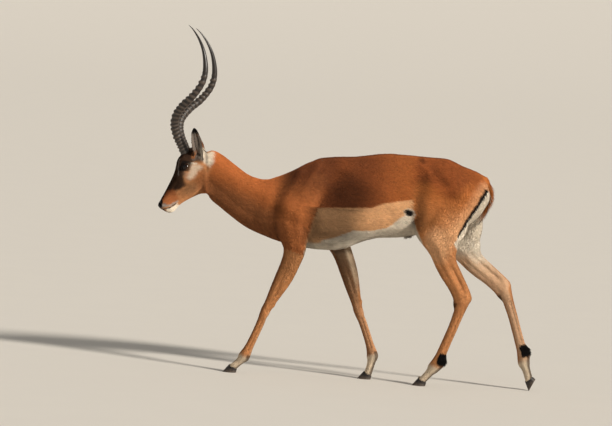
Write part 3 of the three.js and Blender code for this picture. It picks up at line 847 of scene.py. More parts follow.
@dataclass
class Skin:
    """One skin over all the flesh, lying inside the solids by the coat's depth."""

    voxel: float = 0.0024
    bridge: float = 0.0006
    horn_seat: float = 0.0175
    body_inset: float = 0.0016
    leg_inset: float = 0.001
    tail_inset: float = 0.007
    smoothing_rounds: int = 260
    smoothing: float = 0.09
    fold_smoothing: float = 0.8
    ear_smoothing: float = 0.02
    most_triangles: int = 186_000
    dither: float = 0.00022
    evening: float = 0.8
    evening_rounds: int = 4
    flesh: tuple[str, ...] = (
        "head", "neck", "trunk", "tail",
        "leg_fore_left", "leg_fore_right", "leg_hind_left", "leg_hind_right",
    )
    ears: tuple[str, ...] = ("ear_left", "ear_right")
    softened: tuple[tuple[list[Point], float, float], ...] = (
        ([(-0.6, 0.035, 0.9), (-0.606, 0.045, 0.84), (-0.606, 0.04, 0.79), (-0.6, 0.015, 0.745)],
         0.026, 0.9),
        ([(0.335, 0.1, 0.8), (0.318, 0.112, 0.75), (0.275, 0.11, 0.66)], 0.05, 0.8),
        ([(0.5, 0.03, 0.622), (0.545, 0.09, 0.622)], 0.036, 0.85),
    )

    def build(self, nodes: dict[str, Object]) -> Object:
        """Makes the skin.

        Args:
            nodes: the solids, by name.

        Returns:
            The skin, with its colours and its unwrap still to come.
        """
        piece = new_object("skin", self._gathered(nodes))
        remesh = piece.modifiers.new("joined", "REMESH")
        remesh.mode = "VOXEL"
        remesh.voxel_size = self.voxel
        baked(piece)
        self._smooth(piece)
        self._refine(piece)
        self._sculpt(piece)
        self._thin(piece)
        smooth_shaded(piece.data)
        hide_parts(*self.flesh, *self.ears)
        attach(piece, ROOT)
        return piece

    def _gathered(self, nodes: dict[str, Object]) -> Mesh:
        """All the flesh in one mesh, each solid grown a little so that neighbours meet."""
        everything = bmesh.new()
        for name in (*self.flesh, "eye_left", "eye_right"):
            one = bmesh.new()
            one.from_mesh(nodes[name].data)
            bmesh.ops.remove_doubles(one, verts=one.verts, dist=1e-6)
            bmesh.ops.recalc_face_normals(one, faces=one.faces)
            one.normal_update()
            for vertex in one.verts:
                vertex.co += vertex.normal * self.bridge
            grown = bpy.data.meshes.new(name + "_grown")
            one.to_mesh(grown)
            one.free()
            everything.from_mesh(grown)
            bpy.data.meshes.remove(grown)
        for ear in EARS.values():
            points, faces = ear.solid()
            leaf = new_mesh("ear_leaf", points, faces)
            everything.from_mesh(leaf)
            bpy.data.meshes.remove(leaf)
        for horn in HORNS.values():
            seat = Matrix.Translation(horn.knots()[0])
            bmesh.ops.create_icosphere(everything, subdivisions=3, radius=self.horn_seat, matrix=seat)
        mesh = bpy.data.meshes.new("flesh")
        everything.to_mesh(mesh)
        everything.free()
        return mesh

    def _smooth(self, piece: Object) -> None:
        """Rounds off the facets, most where two parts of the body meet in a fold."""
        points = points_of(piece.data)
        x, y, z = points.T
        weight = np.full(len(points), self.smoothing)
        mirrored = np.stack([x, np.abs(y), z], axis=1)
        for path, reach, most in self.softened:
            weight = np.maximum(weight, most * ease(reach, 0.4 * reach, to_path(mirrored, path)))
        for leg in LEGS:
            if not leg.fore:
                hollow = leg.place(Joint.LOWER, 0.1, -0.06, 0)
                mine = self.fold_smoothing * (y * leg.side > 0)
                weight = np.maximum(weight, mine * ease(0.055, 0.02, to_path(points, [hollow])))
        for ear in EARS.values():
            up, away = to_segment(points, ear.base, ear.tip)
            limit = self.smoothing - (self.smoothing - self.ear_smoothing) * ease(0.1, 0.35, up)
            weight = np.minimum(weight, 1 - (1 - limit) * ease(0.05, 0.035, away))
        group = piece.vertex_groups.new(name="softness")
        levels = np.round(weight, 2)
        for level in np.unique(levels):
            group.add(np.flatnonzero(levels == level).tolist(), float(level), "REPLACE")
        modifier = piece.modifiers.new("smoothed", "SMOOTH")
        modifier.factor = 0.5
        modifier.iterations = self.smoothing_rounds
        modifier.vertex_group = group.name
        baked(piece)
        piece.vertex_groups.clear()

    @staticmethod
    def _refine(piece: Object) -> None:
        """Splits the faces of the head, and again round the eyes and on the muzzle."""
        for radius_of_eye, muzzle_top, whole_head in ((0.04, 0.75, True), (0.028, 0.71, False)):
            mesh = bmesh.new()
            mesh.from_mesh(piece.data)
            points = points_of(piece.data)
            x, _, z = points.T
            wanted = (x < -0.735) & (z < muzzle_top)
            if whole_head:
                wanted |= (x < -0.605) & (z > 0.6)
            for eye in EYES.values():
                wanted |= np.linalg.norm(points - eye.centre, axis=1) < radius_of_eye
            mesh.verts.ensure_lookup_table()
            edges = [e for e in mesh.edges if wanted[e.verts[0].index] and wanted[e.verts[1].index]]
            bmesh.ops.subdivide_edges(mesh, edges=edges, cuts=1, use_grid_fill=True, smooth=0.0)
            mesh.to_mesh(piece.data)
            mesh.free()

    def _sculpt(self, piece: Object) -> None:
        """Draws the skin in by the coat's depth and works muscles, folds, lids and lips into it."""
        mesh = piece.data
        points, normals = points_of(mesh), normals_of(mesh)
        z = points[:, 2]
        inset = self.leg_inset + (self.body_inset - self.leg_inset) * ease(0.35, 0.6, z)
        tail = to_path(points, TAIL_LINE)
        lower_tail = ease(0.03, 0.022, tail) * ease(0.86, 0.8, z)
        inset = inset + self.tail_inset * lower_tail
        for ear in EARS.values():
            share, away = to_segment(points, ear.base, ear.tip)
            inset = inset * (1 - ease(0.2, 0.4, share) * ease(0.06, 0.04, away))
        points -= inset[:, None] * normals
        set_points(mesh, points)
        normals = normals_of(mesh)
        for leg in LEGS:
            for stroke in leg_strokes(leg):
                stroke.apply(points, normals)
        for stroke in (*BODY_STROKES, *HEAD_STROKES):
            stroke.apply(points, normals)
        for eye in EYES.values():
            self._lids(points, eye)
        for ear in EARS.values():
            self._ear_veins(points, ear)
        set_points(mesh, points)

    def _thin(self, piece: Object) -> None:
        """Thins the mesh, about evenly on the wide smooth parts, and drops loose scraps."""
        points, normals = points_of(piece.data), normals_of(piece.data)
        rng = np.random.default_rng(SEED)
        rough = self.dither * rng.normal(size=len(points)) * self._is_wide(points)
        set_points(piece.data, points + rough[:, None] * normals)
        thin = piece.modifiers.new("thinned", "DECIMATE")
        triangles = sum(len(face.vertices) - 2 for face in piece.data.polygons)
        thin.ratio = min(1, self.most_triangles / triangles)
        thin.use_collapse_triangulate = True
        baked(piece)
        mesh = bmesh.new()
        mesh.from_mesh(piece.data)
        mesh.verts.ensure_lookup_table()
        largest: set[bmesh.types.BMVert] = set()
        left = set(mesh.verts)
        while left:
            body = edge = {left.pop()}
            while edge:
                edge = {e.other_vert(v) for v in edge for e in v.link_edges} - body
                body |= edge
            left -= body
            largest = max(largest, body, key=len)
        scraps = [v for v in mesh.verts if v not in largest]
        bmesh.ops.delete(mesh, geom=scraps, context="VERTS")
        mesh.to_mesh(piece.data)
        mesh.free()
        relax(piece.data, self.evening * self._is_wide(points_of(piece.data)), self.evening_rounds)

    @staticmethod
    def _is_wide(points: Array) -> Array:
        """An amount for the trunk, the neck and the upper legs."""
        return ease(-0.58, -0.52, points[:, 0]) * ease(0.42, 0.56, points[:, 2])

    @staticmethod
    def _lids(points: Array, eye: EyeSeat) -> None:
        """Opens the skin over an eyeball and rolls it up into two lids, in place."""
        near = np.flatnonzero(np.linalg.norm(points - eye.centre, axis=1) < eye.reach)
        at = points[near] - eye.centre
        distance = np.linalg.norm(at, axis=1)
        _, over, _, width = eye.measured(points[near])
        lid = eye.radius + eye.lid * ease(1.9, 1.25, width) + eye.upper_lid * (over > 0)
        opened = eye.radius - eye.opened
        rolled = np.where(width < 1.9, np.maximum(np.minimum(distance, lid + eye.roll), lid), distance)
        rolled = opened + (rolled - opened) * ease(0.9, 1.04, width)
        rolled = rolled - eye.crease * np.exp(-(((width - 1.75) / 0.16) ** 2)) * (over > -0.004)
        blend = ease(2.6, 1.9, width)
        points[near] = eye.centre + at * ((rolled * blend + distance * (1 - blend)) / distance)[:, None]

    @staticmethod
    def _ear_veins(points: Array, ear: Ear) -> None:
        """Raises low ribs along the inside of an ear, in place."""
        near = np.flatnonzero(to_segment(points, ear.base, ear.tip)[1] < 0.04)
        share, sideways, front = ear.opening(points[near])
        inside = ease(0.0, 0.001, front) * ease(0.15, 0.3, share) * ease(0.95, 0.8, share)
        ribs = 0.0007 * np.cos(sideways * math.tau * 1.5) * (1 - sideways**2)
        points[near] -= (ribs * inside)[:, None] * ear.axes()[2]


# ---- Horns, hooves and eyeballs ----


@dataclass(frozen=True)
class Horn:
    """A lyre-shaped horn with ridges round its lower two thirds and a smooth point."""

    side: int
    base: float = 0.02
    shoulder: float = 0.0122
    tip: float = 0.0016
    ringed: float = 0.68
    rings: int = 22
    ridge: float = 0.0042
    droop: float = 0.055
    stations: int = 420
    sides: int = 40

    def knots(self) -> list[Point]:
        """The points that the horn's middle runs through."""
        right = [
            (-0.699, 0.026, 0.893), (-0.714, 0.032, 0.925), (-0.732, 0.044, 0.961), (-0.743, 0.062, 1.002),
            (-0.738, 0.084, 1.042), (-0.708, 0.113, 1.086), (-0.669, 0.136, 1.124), (-0.633, 0.146, 1.176),
            (-0.62, 0.146, 1.222), (-0.622, 0.143, 1.27), (-0.634, 0.138, 1.32), (-0.656, 0.13, 1.365),
            (-0.683, 0.12, 1.401), (-0.704, 0.112, 1.42),
        ]
        return [(x, self.side * y, z - self.side * y * self.droop) for x, y, z in right]

    def _ridges(self, share: Array) -> Array:
        """How high a ring stands at places along the horn, from 0 in a groove to 1 on a crest."""
        rng = np.random.default_rng(SEED + self.side)
        gaps = np.linspace(0.72, 1.22, self.rings) * rng.uniform(0.84, 1.16, self.rings)
        edges = np.concatenate([[0], np.cumsum(gaps)]) / gaps.sum() * self.ringed
        turns = np.interp(share, edges, np.arange(self.rings + 1))
        phase = turns % 1
        sizes = rng.uniform(0.75, 1.1, self.rings + 1)[turns.astype(int)]
        crest = np.abs(np.sin(math.pi * np.clip(phase / 0.62, 0, 1))) ** 0.8
        return crest * sizes * ease(self.ringed, self.ringed - 0.09, share) * ease(-0.02, 0.05, share)

    def build(self, name: str) -> Object:
        """Makes the horn in place of its solid."""
        line = curve_through(self.knots(), self.stations)
        _, rear, side = frames_along(line, (1, 0, 0))
        share = np.linspace(0, 1, self.stations)[:, None]
        angle = np.linspace(0, math.tau, self.sides, endpoint=False)[None, :]
        lower = self.base + (self.shoulder - self.base) * np.minimum(share / self.ringed, 1) ** 1.2
        beyond = np.clip((share - self.ringed) / (1 - self.ringed), 0, 1)
        upper = self.shoulder + (self.tip - self.shoulder) * beyond
        bare = np.where(share < self.ringed, lower, upper) * np.sqrt(np.clip((1.002 - share) / 0.012, 0, 1))
        slant = share + 0.0045 * np.cos(angle - 2.6)
        crest = self._ridges(slant)
        facing = 0.3 + 0.7 * (0.5 - 0.5 * np.cos(angle)) ** 1.6
        grooves = 0.00035 * np.sin(angle * 13 + 2 * np.sin(share * 40)) * ease(0.9, 0.3, share)
        radius = bare * (1 - 0.06 * np.cos(2 * angle)) + self.ridge * (crest - 0.22) * facing + grooves
        radius = np.maximum(radius, 0.0004)
        rings = line[:, None] + (radius * np.cos(angle))[..., None] * rear[:, None]
        rings = rings + (radius * np.sin(angle))[..., None] * side[:, None]
        points, faces = lofted(rings)
        around = np.broadcast_to(angle * 0.016, crest.shape).ravel()
        run = np.broadcast_to(share * 0.6, crest.shape).ravel()
        ends = np.zeros(2)
        piece = smooth_piece(
            name + "_ringed",
            points,
            faces,
            grain=np.stack([np.append(around, ends), np.append(run, ends), np.zeros(len(points))], axis=1),
            wear=np.append((crest * (0.4 + 0.6 * facing)).ravel(), ends),
            smooth_part=np.append(np.broadcast_to(share, crest.shape).ravel(), [0, 1]),
        )
        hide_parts(name)
        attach(piece, ROOT)
        return piece


HORNS = {name: Horn(side) for name, side in SIDES.items()}


@dataclass(frozen=True)
class Claw:
    """One half of a cloven hoof. `outer` is 1 for the one away from the animal's mid-line, else -1."""

    leg: Leg
    outer: int
    length: float = 0.057
    width: float = 0.021
    cleft: float = 0.0016
    toe_height: float = 0.033
    heel_height: float = 0.015
    toe_back: float = 0.027
    heel_over: float = 0.003
    worn: float = 0.0025
    tuck: float = 0.14
    levels: int = 26
    sides: int = 36

    def _place(self, back: Array, out: Array, up: Array) -> Array:
        """Places back from the toe, out from the cleft and up from the sole."""
        pitch = math.radians(self.leg.pitch)
        dig = self.worn if self.leg.pitch else 0
        middle = self.leg.side * self.leg.joints[-1][1]
        x = self.leg.toe + back * math.cos(pitch) - up * math.sin(pitch)
        z = back * math.sin(pitch) + up * math.cos(pitch) - dig
        return np.stack([x, middle + self.leg.side * out, np.maximum(z, 0)], axis=-1)

    def build(self, name: str) -> Object:
        """Makes the claw, which runs on up inside the skin."""
        t = np.linspace(0, 1 + self.tuck, self.levels)[:, None]
        angle = np.linspace(0, math.tau, self.sides, endpoint=False)[None, :]
        edge = 0.0011 * (1 - np.sqrt(np.clip(1 - (1 - np.minimum(t / 0.06, 1)) ** 2, 0, 1)))
        tucked = ease(0.97, 1 + self.tuck, t)
        start = self.toe_back * t + edge + 0.015 * tucked
        length = self.length - self.toe_back * t + self.heel_over * t - 2 * edge - 0.018 * tucked
        width = self.width * (1 - 0.16 * t) - edge - 0.01 * tucked
        along = (1 - np.cos(angle)) / 2
        bow = np.sin(angle)
        out = np.where(bow > 0, bow * width * along**0.35, 0.04 * bow * width)
        rim = 0.0007 * np.exp(-(((t - 0.96) / 0.05) ** 2)) * (bow > 0)
        growth = 0.00022 * np.sin(t * 46 + 2.0 * along) * ease(0.05, 0.2, t) * (bow > 0) * ease(1.1, 0.9, t)
        up = t * (self.toe_height + (self.heel_height - self.toe_height) * along)
        back = start + length * along
        spread = self.cleft + out + (rim + growth) * bow
        points, faces = lofted(self._place(back - rim * (1 - along), self.outer * spread, up))
        if self.leg.side * self.outer > 0:
            faces = faces[:, ::-1]
        levels = np.append(np.broadcast_to(t, out.shape).ravel(), [0, 1.3])
        piece = smooth_piece(name + "_claw", points, faces, height_up=levels)
        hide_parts(name)
        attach(piece, ROOT)
        return piece


def all_claws() -> dict[str, Claw]:
    """The eight claws, by the names of their solids."""
    claws = {}
    for leg in LEGS:
        place = leg.part.value.removeprefix("leg_")
        claws[f"hoof_{place}_outer"] = Claw(leg, 1)
        claws[f"hoof_{place}_inner"] = Claw(leg, -1)
    return claws


@dataclass(frozen=True)
class Eyeball:
    """A ball with a bulging cornea, whose iris almost fills the opening of the lids."""

    seat: EyeSeat
    columns: int = 64
    rows: int = 48
    cornea: float = 0.0011

    def build(self, name: str) -> Object:
        """Makes the eyeball in place of its solid."""
        out, rearwards, upwards = self.seat.axes()
        turn = np.linspace(0, math.tau, self.columns, endpoint=False)[None, :]
        lean = np.linspace(0.02, math.pi - 0.02, self.rows)[:, None]
        radius = self.seat.radius * (1 - 0.004) + self.cornea * np.exp(-((lean / 0.62) ** 4))
        along = np.sin(lean) * np.cos(turn)
        over = np.sin(lean) * np.sin(turn)
        ahead = np.broadcast_to(np.cos(lean), along.shape)
        ways = along[..., None] * rearwards + over[..., None] * upwards + ahead[..., None] * out
        points, faces = lofted(self.seat.centre + radius[..., None] * ways)
        if np.cross(rearwards, upwards) @ out > 0:
            faces = faces[:, ::-1]
        gaze = np.stack([along.ravel(), over.ravel(), ahead.ravel()], axis=1)
        gaze = np.vstack([gaze, [[0, 0, 1], [0, 0, -1]]])
        piece = smooth_piece(name + "_moist", points, faces, gaze=gaze)
        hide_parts(name)
        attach(piece, ROOT)
        return piece


# ---- Markings ----


def screen(colour: Colour) -> Array:
    """A colour in linear light, from its screen values of 0 to 255."""
    share = np.array(colour) / 255
    return np.where(share <= 0.04045, share / 12.92, ((share + 0.055) / 1.055) ** 2.4)


def flat_colour(colour: Colour) -> Colour:
    """A colour in linear light for a shader's socket, from its screen values."""
    return tuple(screen(colour))


@dataclass(frozen=True)
class Palette:
    """The colours of the coat and of the bare skin, as screen values."""

    saddle: Colour = (138, 75, 38)
    saddle_deep: Colour = (88, 48, 27)
    rump: Colour = (176, 104, 52)
    shoulder: Colour = (176, 106, 60)
    neck: Colour = (178, 104, 56)
    throat: Colour = (160, 108, 72)
    flank: Colour = (206, 158, 114)
    belly: Colour = (214, 202, 184)
    thigh: Colour = (188, 124, 74)
    thigh_low: Colour = (220, 170, 126)
    shin: Colour = (196, 136, 88)
    shin_front: Colour = (104, 62, 38)
    inner_leg: Colour = (204, 184, 158)
    pastern: Colour = (212, 194, 170)
    dark: Colour = (50, 32, 24)
    black: Colour = (16, 13, 13)
    cheek: Colour = (174, 120, 78)
    jaw: Colour = (160, 116, 80)
    bridge: Colour = (32, 20, 14)
    crown: Colour = (46, 30, 22)
    muzzle: Colour = (148, 84, 46)
    lip: Colour = (150, 138, 130)
    streak: Colour = (196, 182, 164)
    face_line: Colour = (146, 136, 130)
    shade: Colour = (112, 96, 88)
    ear_back: Colour = (140, 90, 56)
    ear_inside: Colour = (150, 136, 126)
    ear_low: Colour = (60, 44, 36)
    ear_line: Colour = (40, 32, 30)


# The line between the lips, drawn from the side.
MOUTH = [(-0.8, 0.6525), (-0.782, 0.653), (-0.765, 0.658), (-0.748, 0.664), (-0.729, 0.68)]


def throat_height(x: Array) -> Array:
    """How high the underside of the neck runs."""
    return np.interp(x, [-0.6, -0.4, -0.28], [0.742, 0.655, 0.592])


class Painter:
    """Colours at places on the skin, laid one over another."""

    wander = 0.0011
    broad_wave = 0.014
    fine_wave = 0.005

    def __init__(self, points: Array, normals: Array) -> None:
        """Starts with nothing laid, on edges that wander a little."""
        broad = [wobble(points, self.broad_wave, SEED + k) for k in range(3)]
        fine = [0.5 * wobble(points, self.fine_wave, SEED + 3 + k) for k in range(3)]
        self.points = points + self.wander * (np.stack(broad, axis=1) + np.stack(fine, axis=1))
        self.normals = normals
        self.flat = self.points[:, [0, 2]]
        self.away = np.abs(self.points[:, 1])
        self.colour = np.zeros_like(points)

    def lay(self, colour: Colour, amount: Array) -> None:
        """Covers what is there by a colour, as far as the amount says."""
        share = np.clip(amount, 0, 1)[:, None]
        self.colour += share * (screen(colour) - self.colour)

    def darken(self, amount: Array) -> None:
        """Takes that share of the light out of what is there."""
        self.colour *= 1 - np.clip(amount, 0, 1)[:, None]

    def patch(self, outline: list[Flat], soft: float) -> Array:
        """An amount for the inside of an outline, drawn from the side."""
        return ease(-soft, soft, inside_by(self.flat, outline))

    def line(self, path: list[Flat], half: float, soft: float) -> Array:
        """An amount for the neighbourhood of a line, drawn from the side."""
        return ease(half + soft, half - soft, to_path(self.flat, path))

    def spot(self, middle: Flat, along: float, across: float, tilt: float, soft: float) -> Array:
        """An amount for the inside of an oval, drawn from the side."""
        at = self.flat - np.array(middle)
        turn = math.radians(tilt)
        u = (at[:, 0] * math.cos(turn) + at[:, 1] * math.sin(turn)) / along
        v = (at[:, 1] * math.cos(turn) - at[:, 0] * math.sin(turn)) / across
        return ease(1 + soft, 1 - soft, np.hypot(u, v))


class Markings:
    """The colours of the whole animal, which its skin and its hair share."""

    tones = ((0.05, 0.05), (0.06, 0.012), (0.06, 0.0065))

    def __init__(self, lie: Lie) -> None:
        """Takes the lie of the coat, which tells one part of the body from another."""
        self.lie = lie
        self.colours = Palette()

    def paint(self, points: Array, normals: Array) -> tuple[Array, Array]:
        """Colours places on the skin.

        Args:
            points: the places.
            normals: the skin's normals there.

        Returns:
            Their colours in linear light, and how moist and bare they are, from 0 to 1.
        """
        part = self.lie.read(points, normals)[0]
        painter = Painter(points, normals)
        self._body(painter)
        self._hollows(painter)
        for leg in LEGS:
            self._leg(painter, leg, part == self.lie.parts.index(leg.part))
        self._rear(painter, part == self.lie.parts.index(Part.TAIL))
        self._head(painter)
        for ear in EARS.values():
            self._ear(painter, ear)
        wet = self._bare(painter)
        tone = np.ones(len(points))
        for k, (amount, size) in enumerate(self.tones):
            tone += amount * wobble(points, size, SEED + 9 + k)
        return np.clip(painter.colour * tone[:, None], 0, 1), wet

    def _body(self, painter: Painter) -> None:
        """Neck, shoulder, saddle, flank band, belly and rump."""
        c, lay = self.colours, painter.lay
        spot = painter.spot
        x, z = painter.flat.T
        down = -painter.normals[:, 2]
        shoulder_rear = np.interp(z, [0.55, 0.622, 0.784], [-0.169, -0.155, -0.105])
        thigh_front = np.interp(z, [0.603, 0.684, 0.734], [0.313, 0.268, 0.262])
        saddle_edge = np.interp(x, [-0.134, -0.028, 0.097, 0.138, 0.261], [0.708, 0.716, 0.724, 0.743, 0.768])
        belly_edge = np.interp(
            x,
            [-0.152, -0.104, -0.063, 0.02, 0.103, 0.161, 0.184, 0.223, 0.262],
            [0.531, 0.577, 0.588, 0.623, 0.628, 0.645, 0.663, 0.698, 0.722],
        )
        lay(c.thigh, np.ones(len(x)))
        lay(c.shoulder, ease(0.05, -0.12, x))
        lay(c.neck, ease(-0.24, -0.4, x))
        low_neck = ease(0.1, 0.02, z - throat_height(x))
        lay(c.throat, 0.55 * low_neck * ease(-0.22, -0.36, x))
        lay(c.rump, ease(0.66, 0.84, z) * ease(0.18, 0.3, x))
        # paler lower thigh, partly painted light
        lay(c.thigh_low, 0.8 * ease(0.76, 0.62, z) * ease(0.36, 0.46, x))
        over = ease(0.77, 0.86, z + 0.02 * wobble(painter.points, 0.08, SEED + 12))
        lay(c.saddle, over * ease(-0.35, -0.21, x) * ease(0.62, 0.42, x))
        wither = ease(0.7, 0.83, z + 0.25 * (x + 0.2)) * ease(-0.36, -0.26, x) * ease(0.06, -0.1, x)
        lay(c.saddle_deep, 0.72 * wither)
        lay(c.saddle, 0.45 * ease(0.3, 0.45, x) * over)
        front = ease(-0.02, 0.03, x - shoulder_rear - 0.55 * ease(0.78, 0.88, z) * (x + 0.16))
        rear = ease(0.02, -0.03, x - thigh_front)
        above = ease(-0.003, 0.004, z - saddle_edge)
        lay(c.saddle, front * rear * above)
        # Paler towards the rump and deeper towards the shoulder: partly the coat's own tone, partly painted
        # light on the rump and painted shade behind the shoulder.
        lay(c.rump, 0.45 * front * rear * above * ease(0.06, 0.24, x))
        lay(c.saddle_deep, 0.58 * front * above * ease(0.26, -0.02, x))
        inside = ease(-0.006, 0.006, x - shoulder_rear) * ease(0.006, -0.006, x - thigh_front)
        lay(c.flank, inside * (1 - above))
        lay(c.belly, inside * ease(0.003, -0.003, z - belly_edge))
        middle = ease(0.075, 0.055, painter.away)
        lay(c.belly, middle * ease(0.1, 0.5, down) * ease(-0.245, -0.205, x) * ease(0.7, 0.66, z))
        lay(c.belly, middle * ease(0.25, 0.29, x) * ease(0.75, 0.72, z) * ease(0.54, 0.5, x))
        lay(c.belly, 0.7 * spot((0.25, 0.712), 0.0245, 0.019, -22, 0.14))
        lay(c.black, spot((0.247, 0.713), 0.0185, 0.013, -22, 0.14))
        sheath = np.linalg.norm(painter.points - np.array([0.254, 0, 0.616]), axis=1)
        lay(c.dark, 0.8 * ease(0.02, 0.01, sheath))
        line = ease(0.016, 0.007, painter.away) * ease(0.8, 0.86, z) * ease(-0.3, -0.05, x)
        lay(c.dark, 0.4 * line)

    @staticmethod
    def _hollows(painter: Painter) -> None:
        """Painted shade: darkens the coat in the hollows before and behind the shoulder, before the thigh and
        by the hip, under the neck, over the front of the flank band and low on the trunk.
        """
        x, z = painter.flat.T
        darken = painter.darken
        # painted shade in the hollow behind the shoulder
        behind = painter.spot((-0.012, 0.758), 0.105, 0.08, 8, 0.65)
        edge = ease(-0.02, 0.006, x - np.interp(z, [0.69, 0.78, 0.83], [-0.128, -0.094, -0.11]))
        darken(0.56 * behind * edge * ease(0.7, 0.712, z))
        thigh = [(0.302, 0.85), (0.298, 0.78), (0.29, 0.715), (0.3, 0.67)]
        darken(0.48 * ease(0.048, 0.006, to_path(painter.flat, thigh)))
        shoulder = [(-0.252, 0.84), (-0.282, 0.765), (-0.303, 0.68)]
        darken(0.42 * ease(0.048, 0.004, to_path(painter.flat, shoulder)))
        darken(0.22 * ease(0.026, 0.006, to_path(painter.flat, [(0.333, 0.896), (0.395, 0.842)])))
        darken(0.45 * painter.spot((0.284, 0.926), 0.016, 0.008, -30, 0.6))
        low = ease(0.155, 0.045, z - throat_height(x))
        band = ease(0.1, -0.02, x) * ease(-0.2, -0.14, x)
        # painted shadow of the shoulder over the front of the flank band
        darken(0.63 * band * ease(0.716, 0.708, z) * ease(0.54, 0.6, z))
        # painted shade under the neck
        darken(0.42 * low * ease(-0.2, -0.32, x) * ease(-0.615, -0.59, x))
        # painted shade low on the trunk
        darken(0.2 * ease(0.66, 0.6, z) * ease(-0.22, -0.16, x) * (x < 0.3))

    def _leg(self, painter: Painter, leg: Leg, mine: Array) -> None:
        """One leg: tan outside and dark in front, partly as painted shade, pale inside and at the foot, with
        painted shade inside the forelegs and behind the hind shanks.
        """
        c, lay = self.colours, painter.lay
        points, normals = painter.points, painter.normals
        z = points[:, 2]
        outwards = normals[:, 1] * leg.side
        spans = [to_segment(points, *map(tuple, leg.ends(bone)))[1] for bone in Joint]
        nearest = np.argmin(spans, axis=0)
        forwards = -normals[:, 0]
        lower = mine & (nearest > 0)
        fade = ease(0.64, 0.54, z) if leg.fore else ease(0.68, 0.56, z)
        lay(c.shin, lower * fade)
        inner = ease(0.1, -0.35, outwards)
        least = 0.4 if leg.fore else 0.55
        high = least + (1 - least) * ease(0.42, 0.6, z)
        streak = ease(0.85, 0.35, np.abs(forwards))
        # painted shade: the forelegs' inner colour is dimmed to two thirds
        inside = tuple(0.66 * np.array(c.inner_leg)) if leg.fore else c.inner_leg
        lay(inside, 0.9 * inner * high * streak * (mine & (z < 0.72)))
        if leg.fore:
            painter.darken(0.24 * mine * ease(0.34, 0.46, z) * ease(0.66, 0.6, z))
            # painted shade on the inner side of the forelegs
            painter.darken(0.45 * mine * inner * ease(0.24, 0.4, z))
            rearward = ease(0.0, 0.45, normals[:, 0]) * ease(0.34, 0.46, z)
            lay(c.inner_leg, 0.6 * mine * inner * rearward)
        share, ahead, _ = leg.measured(Joint.CANNON, points)
        front = ease(0.35, 0.85, forwards) * lower
        strength = 0.7 if leg.fore else 0.4
        # dark front of the shins, partly painted shade on the faces turned from the light
        lay(c.shin_front, strength * front * ease(0.6, 0.44, z))
        cannon = lower & (nearest == Joint.CANNON.value)
        lay(c.inner_leg, 0.35 * cannon * ease(0.5, 0.95, -forwards))
        foot = lower & ((nearest == Joint.PASTERN.value) | (cannon & (share > 0.93)))
        lay(c.pastern, foot * ease(0.93, 1.03, np.where(nearest == Joint.PASTERN.value, 1.2, share)))
        behind = foot * ease(0.15, 0.65, normals[:, 0])
        lay(c.dark, 0.75 * behind)
        if leg.fore:
            return
        gland = cannon * ease(0.775, 0.81, share) * ease(0.945, 0.915, share)
        lay(c.black, gland * ease(-0.002, -0.006, ahead))
        knob = cannon * ease(0.07, 0.11, share) * ease(0.29, 0.24, share)
        lay(c.dark, 0.8 * knob * ease(0.008, 0.014, ahead))
        stifle = leg.place(Joint.LOWER, 0.1, -0.02, 0)
        away = np.hypot(points[:, 0] - stifle[0], 0.8 * (z - stifle[2]))
        # paler stifle, painted light on its bulge
        lay(c.thigh_low, 0.9 * mine * ease(0.08, 0.03, away))
        back = mine * ease(0.4, 0.8, normals[:, 0]) * ease(0.545, 0.505, z)
        lay(c.shin, 0.9 * back * ease(0.28, 0.33, z))
        # painted shade down the back of the hind shank
        painter.darken(0.25 * back * ease(0.28, 0.33, z))
        white = mine * ease(0.5, 0.58, z) * (z < 0.86)
        lay(c.belly, white * ease(0.15, -0.25, outwards))

    def _rear(self, painter: Painter, tail: Array) -> None:
        """The rump's black stripes and white, and the tail."""
        c, lay = self.colours, painter.lay
        x, z = painter.flat.T
        stripe = [(0.56, 0.824), (0.53, 0.762), (0.495, 0.705), (0.461, 0.632)]
        white = [*stripe, (0.446, 0.598), (0.47, 0.56), (0.545, 0.58), (0.66, 0.66), (0.66, 0.8),
                 (0.575, 0.822)]
        out = np.interp(z, [0.63, 0.67, 0.69, 0.71, 0.75, 0.79, 0.81, 0.824],
                        [0.112, 0.106, 0.1, 0.09, 0.077, 0.068, 0.058, 0.048])
        rump = ~tail & (x > 0.4)
        right = painter.points[:, 1] > 0
        rearward = ease(0.05, 0.35, painter.normals[:, 0])
        beyond = np.hypot(out - painter.away, np.maximum(np.abs(z - 0.728) - 0.096, 0)) + 0.1 * (1 - rearward)
        between = 0.1 * ease(0.03, 0.04, out - painter.away) * ease(0.78, 0.74, z)
        from_stripe = np.where(right, beyond, to_path(painter.flat, stripe) + between)
        behind_right = ease(-0.003, 0.003, out - painter.away) * rearward * ease(0.832, 0.824, z)
        pale = np.where(right, behind_right, painter.patch(white, 0.003))
        lay(c.belly, rump * pale * ease(0.48, 0.6, z))
        # paler beside the black stripe, partly painted light
        lay(c.thigh_low, 0.55 * rump * ease(0.055, 0.01, from_stripe) * (1 - pale))
        width = np.interp(z, [0.62, 0.7, 0.8], [0.003, 0.0062, 0.0074])
        edge = ease(0.0015, -0.0015, from_stripe - width)
        lay(c.black, rump * edge * (z < 0.828) * (painter.away > 0.012))
        inner = np.abs(painter.away - np.interp(z, [0.66, 0.8], [0.026, 0.019]))
        beside = rump * ease(0.0045, 0.0025, inner) * ease(0.7, 0.72, z) * ease(0.83, 0.81, z) * (x > 0.5)
        lay(c.black, beside)
        behind = ease(-0.75, -0.35, painter.normals[:, 0])
        lay(c.belly, tail * ease(0.84, 0.81, z))
        lay(c.rump, tail * np.maximum(behind, ease(0.78, 0.82, z)) * ease(0.705, 0.755, z))
        lay(c.black, tail * behind * ease(0.005, 0.003, painter.away) * ease(0.9, 0.84, z) * (z > 0.7))

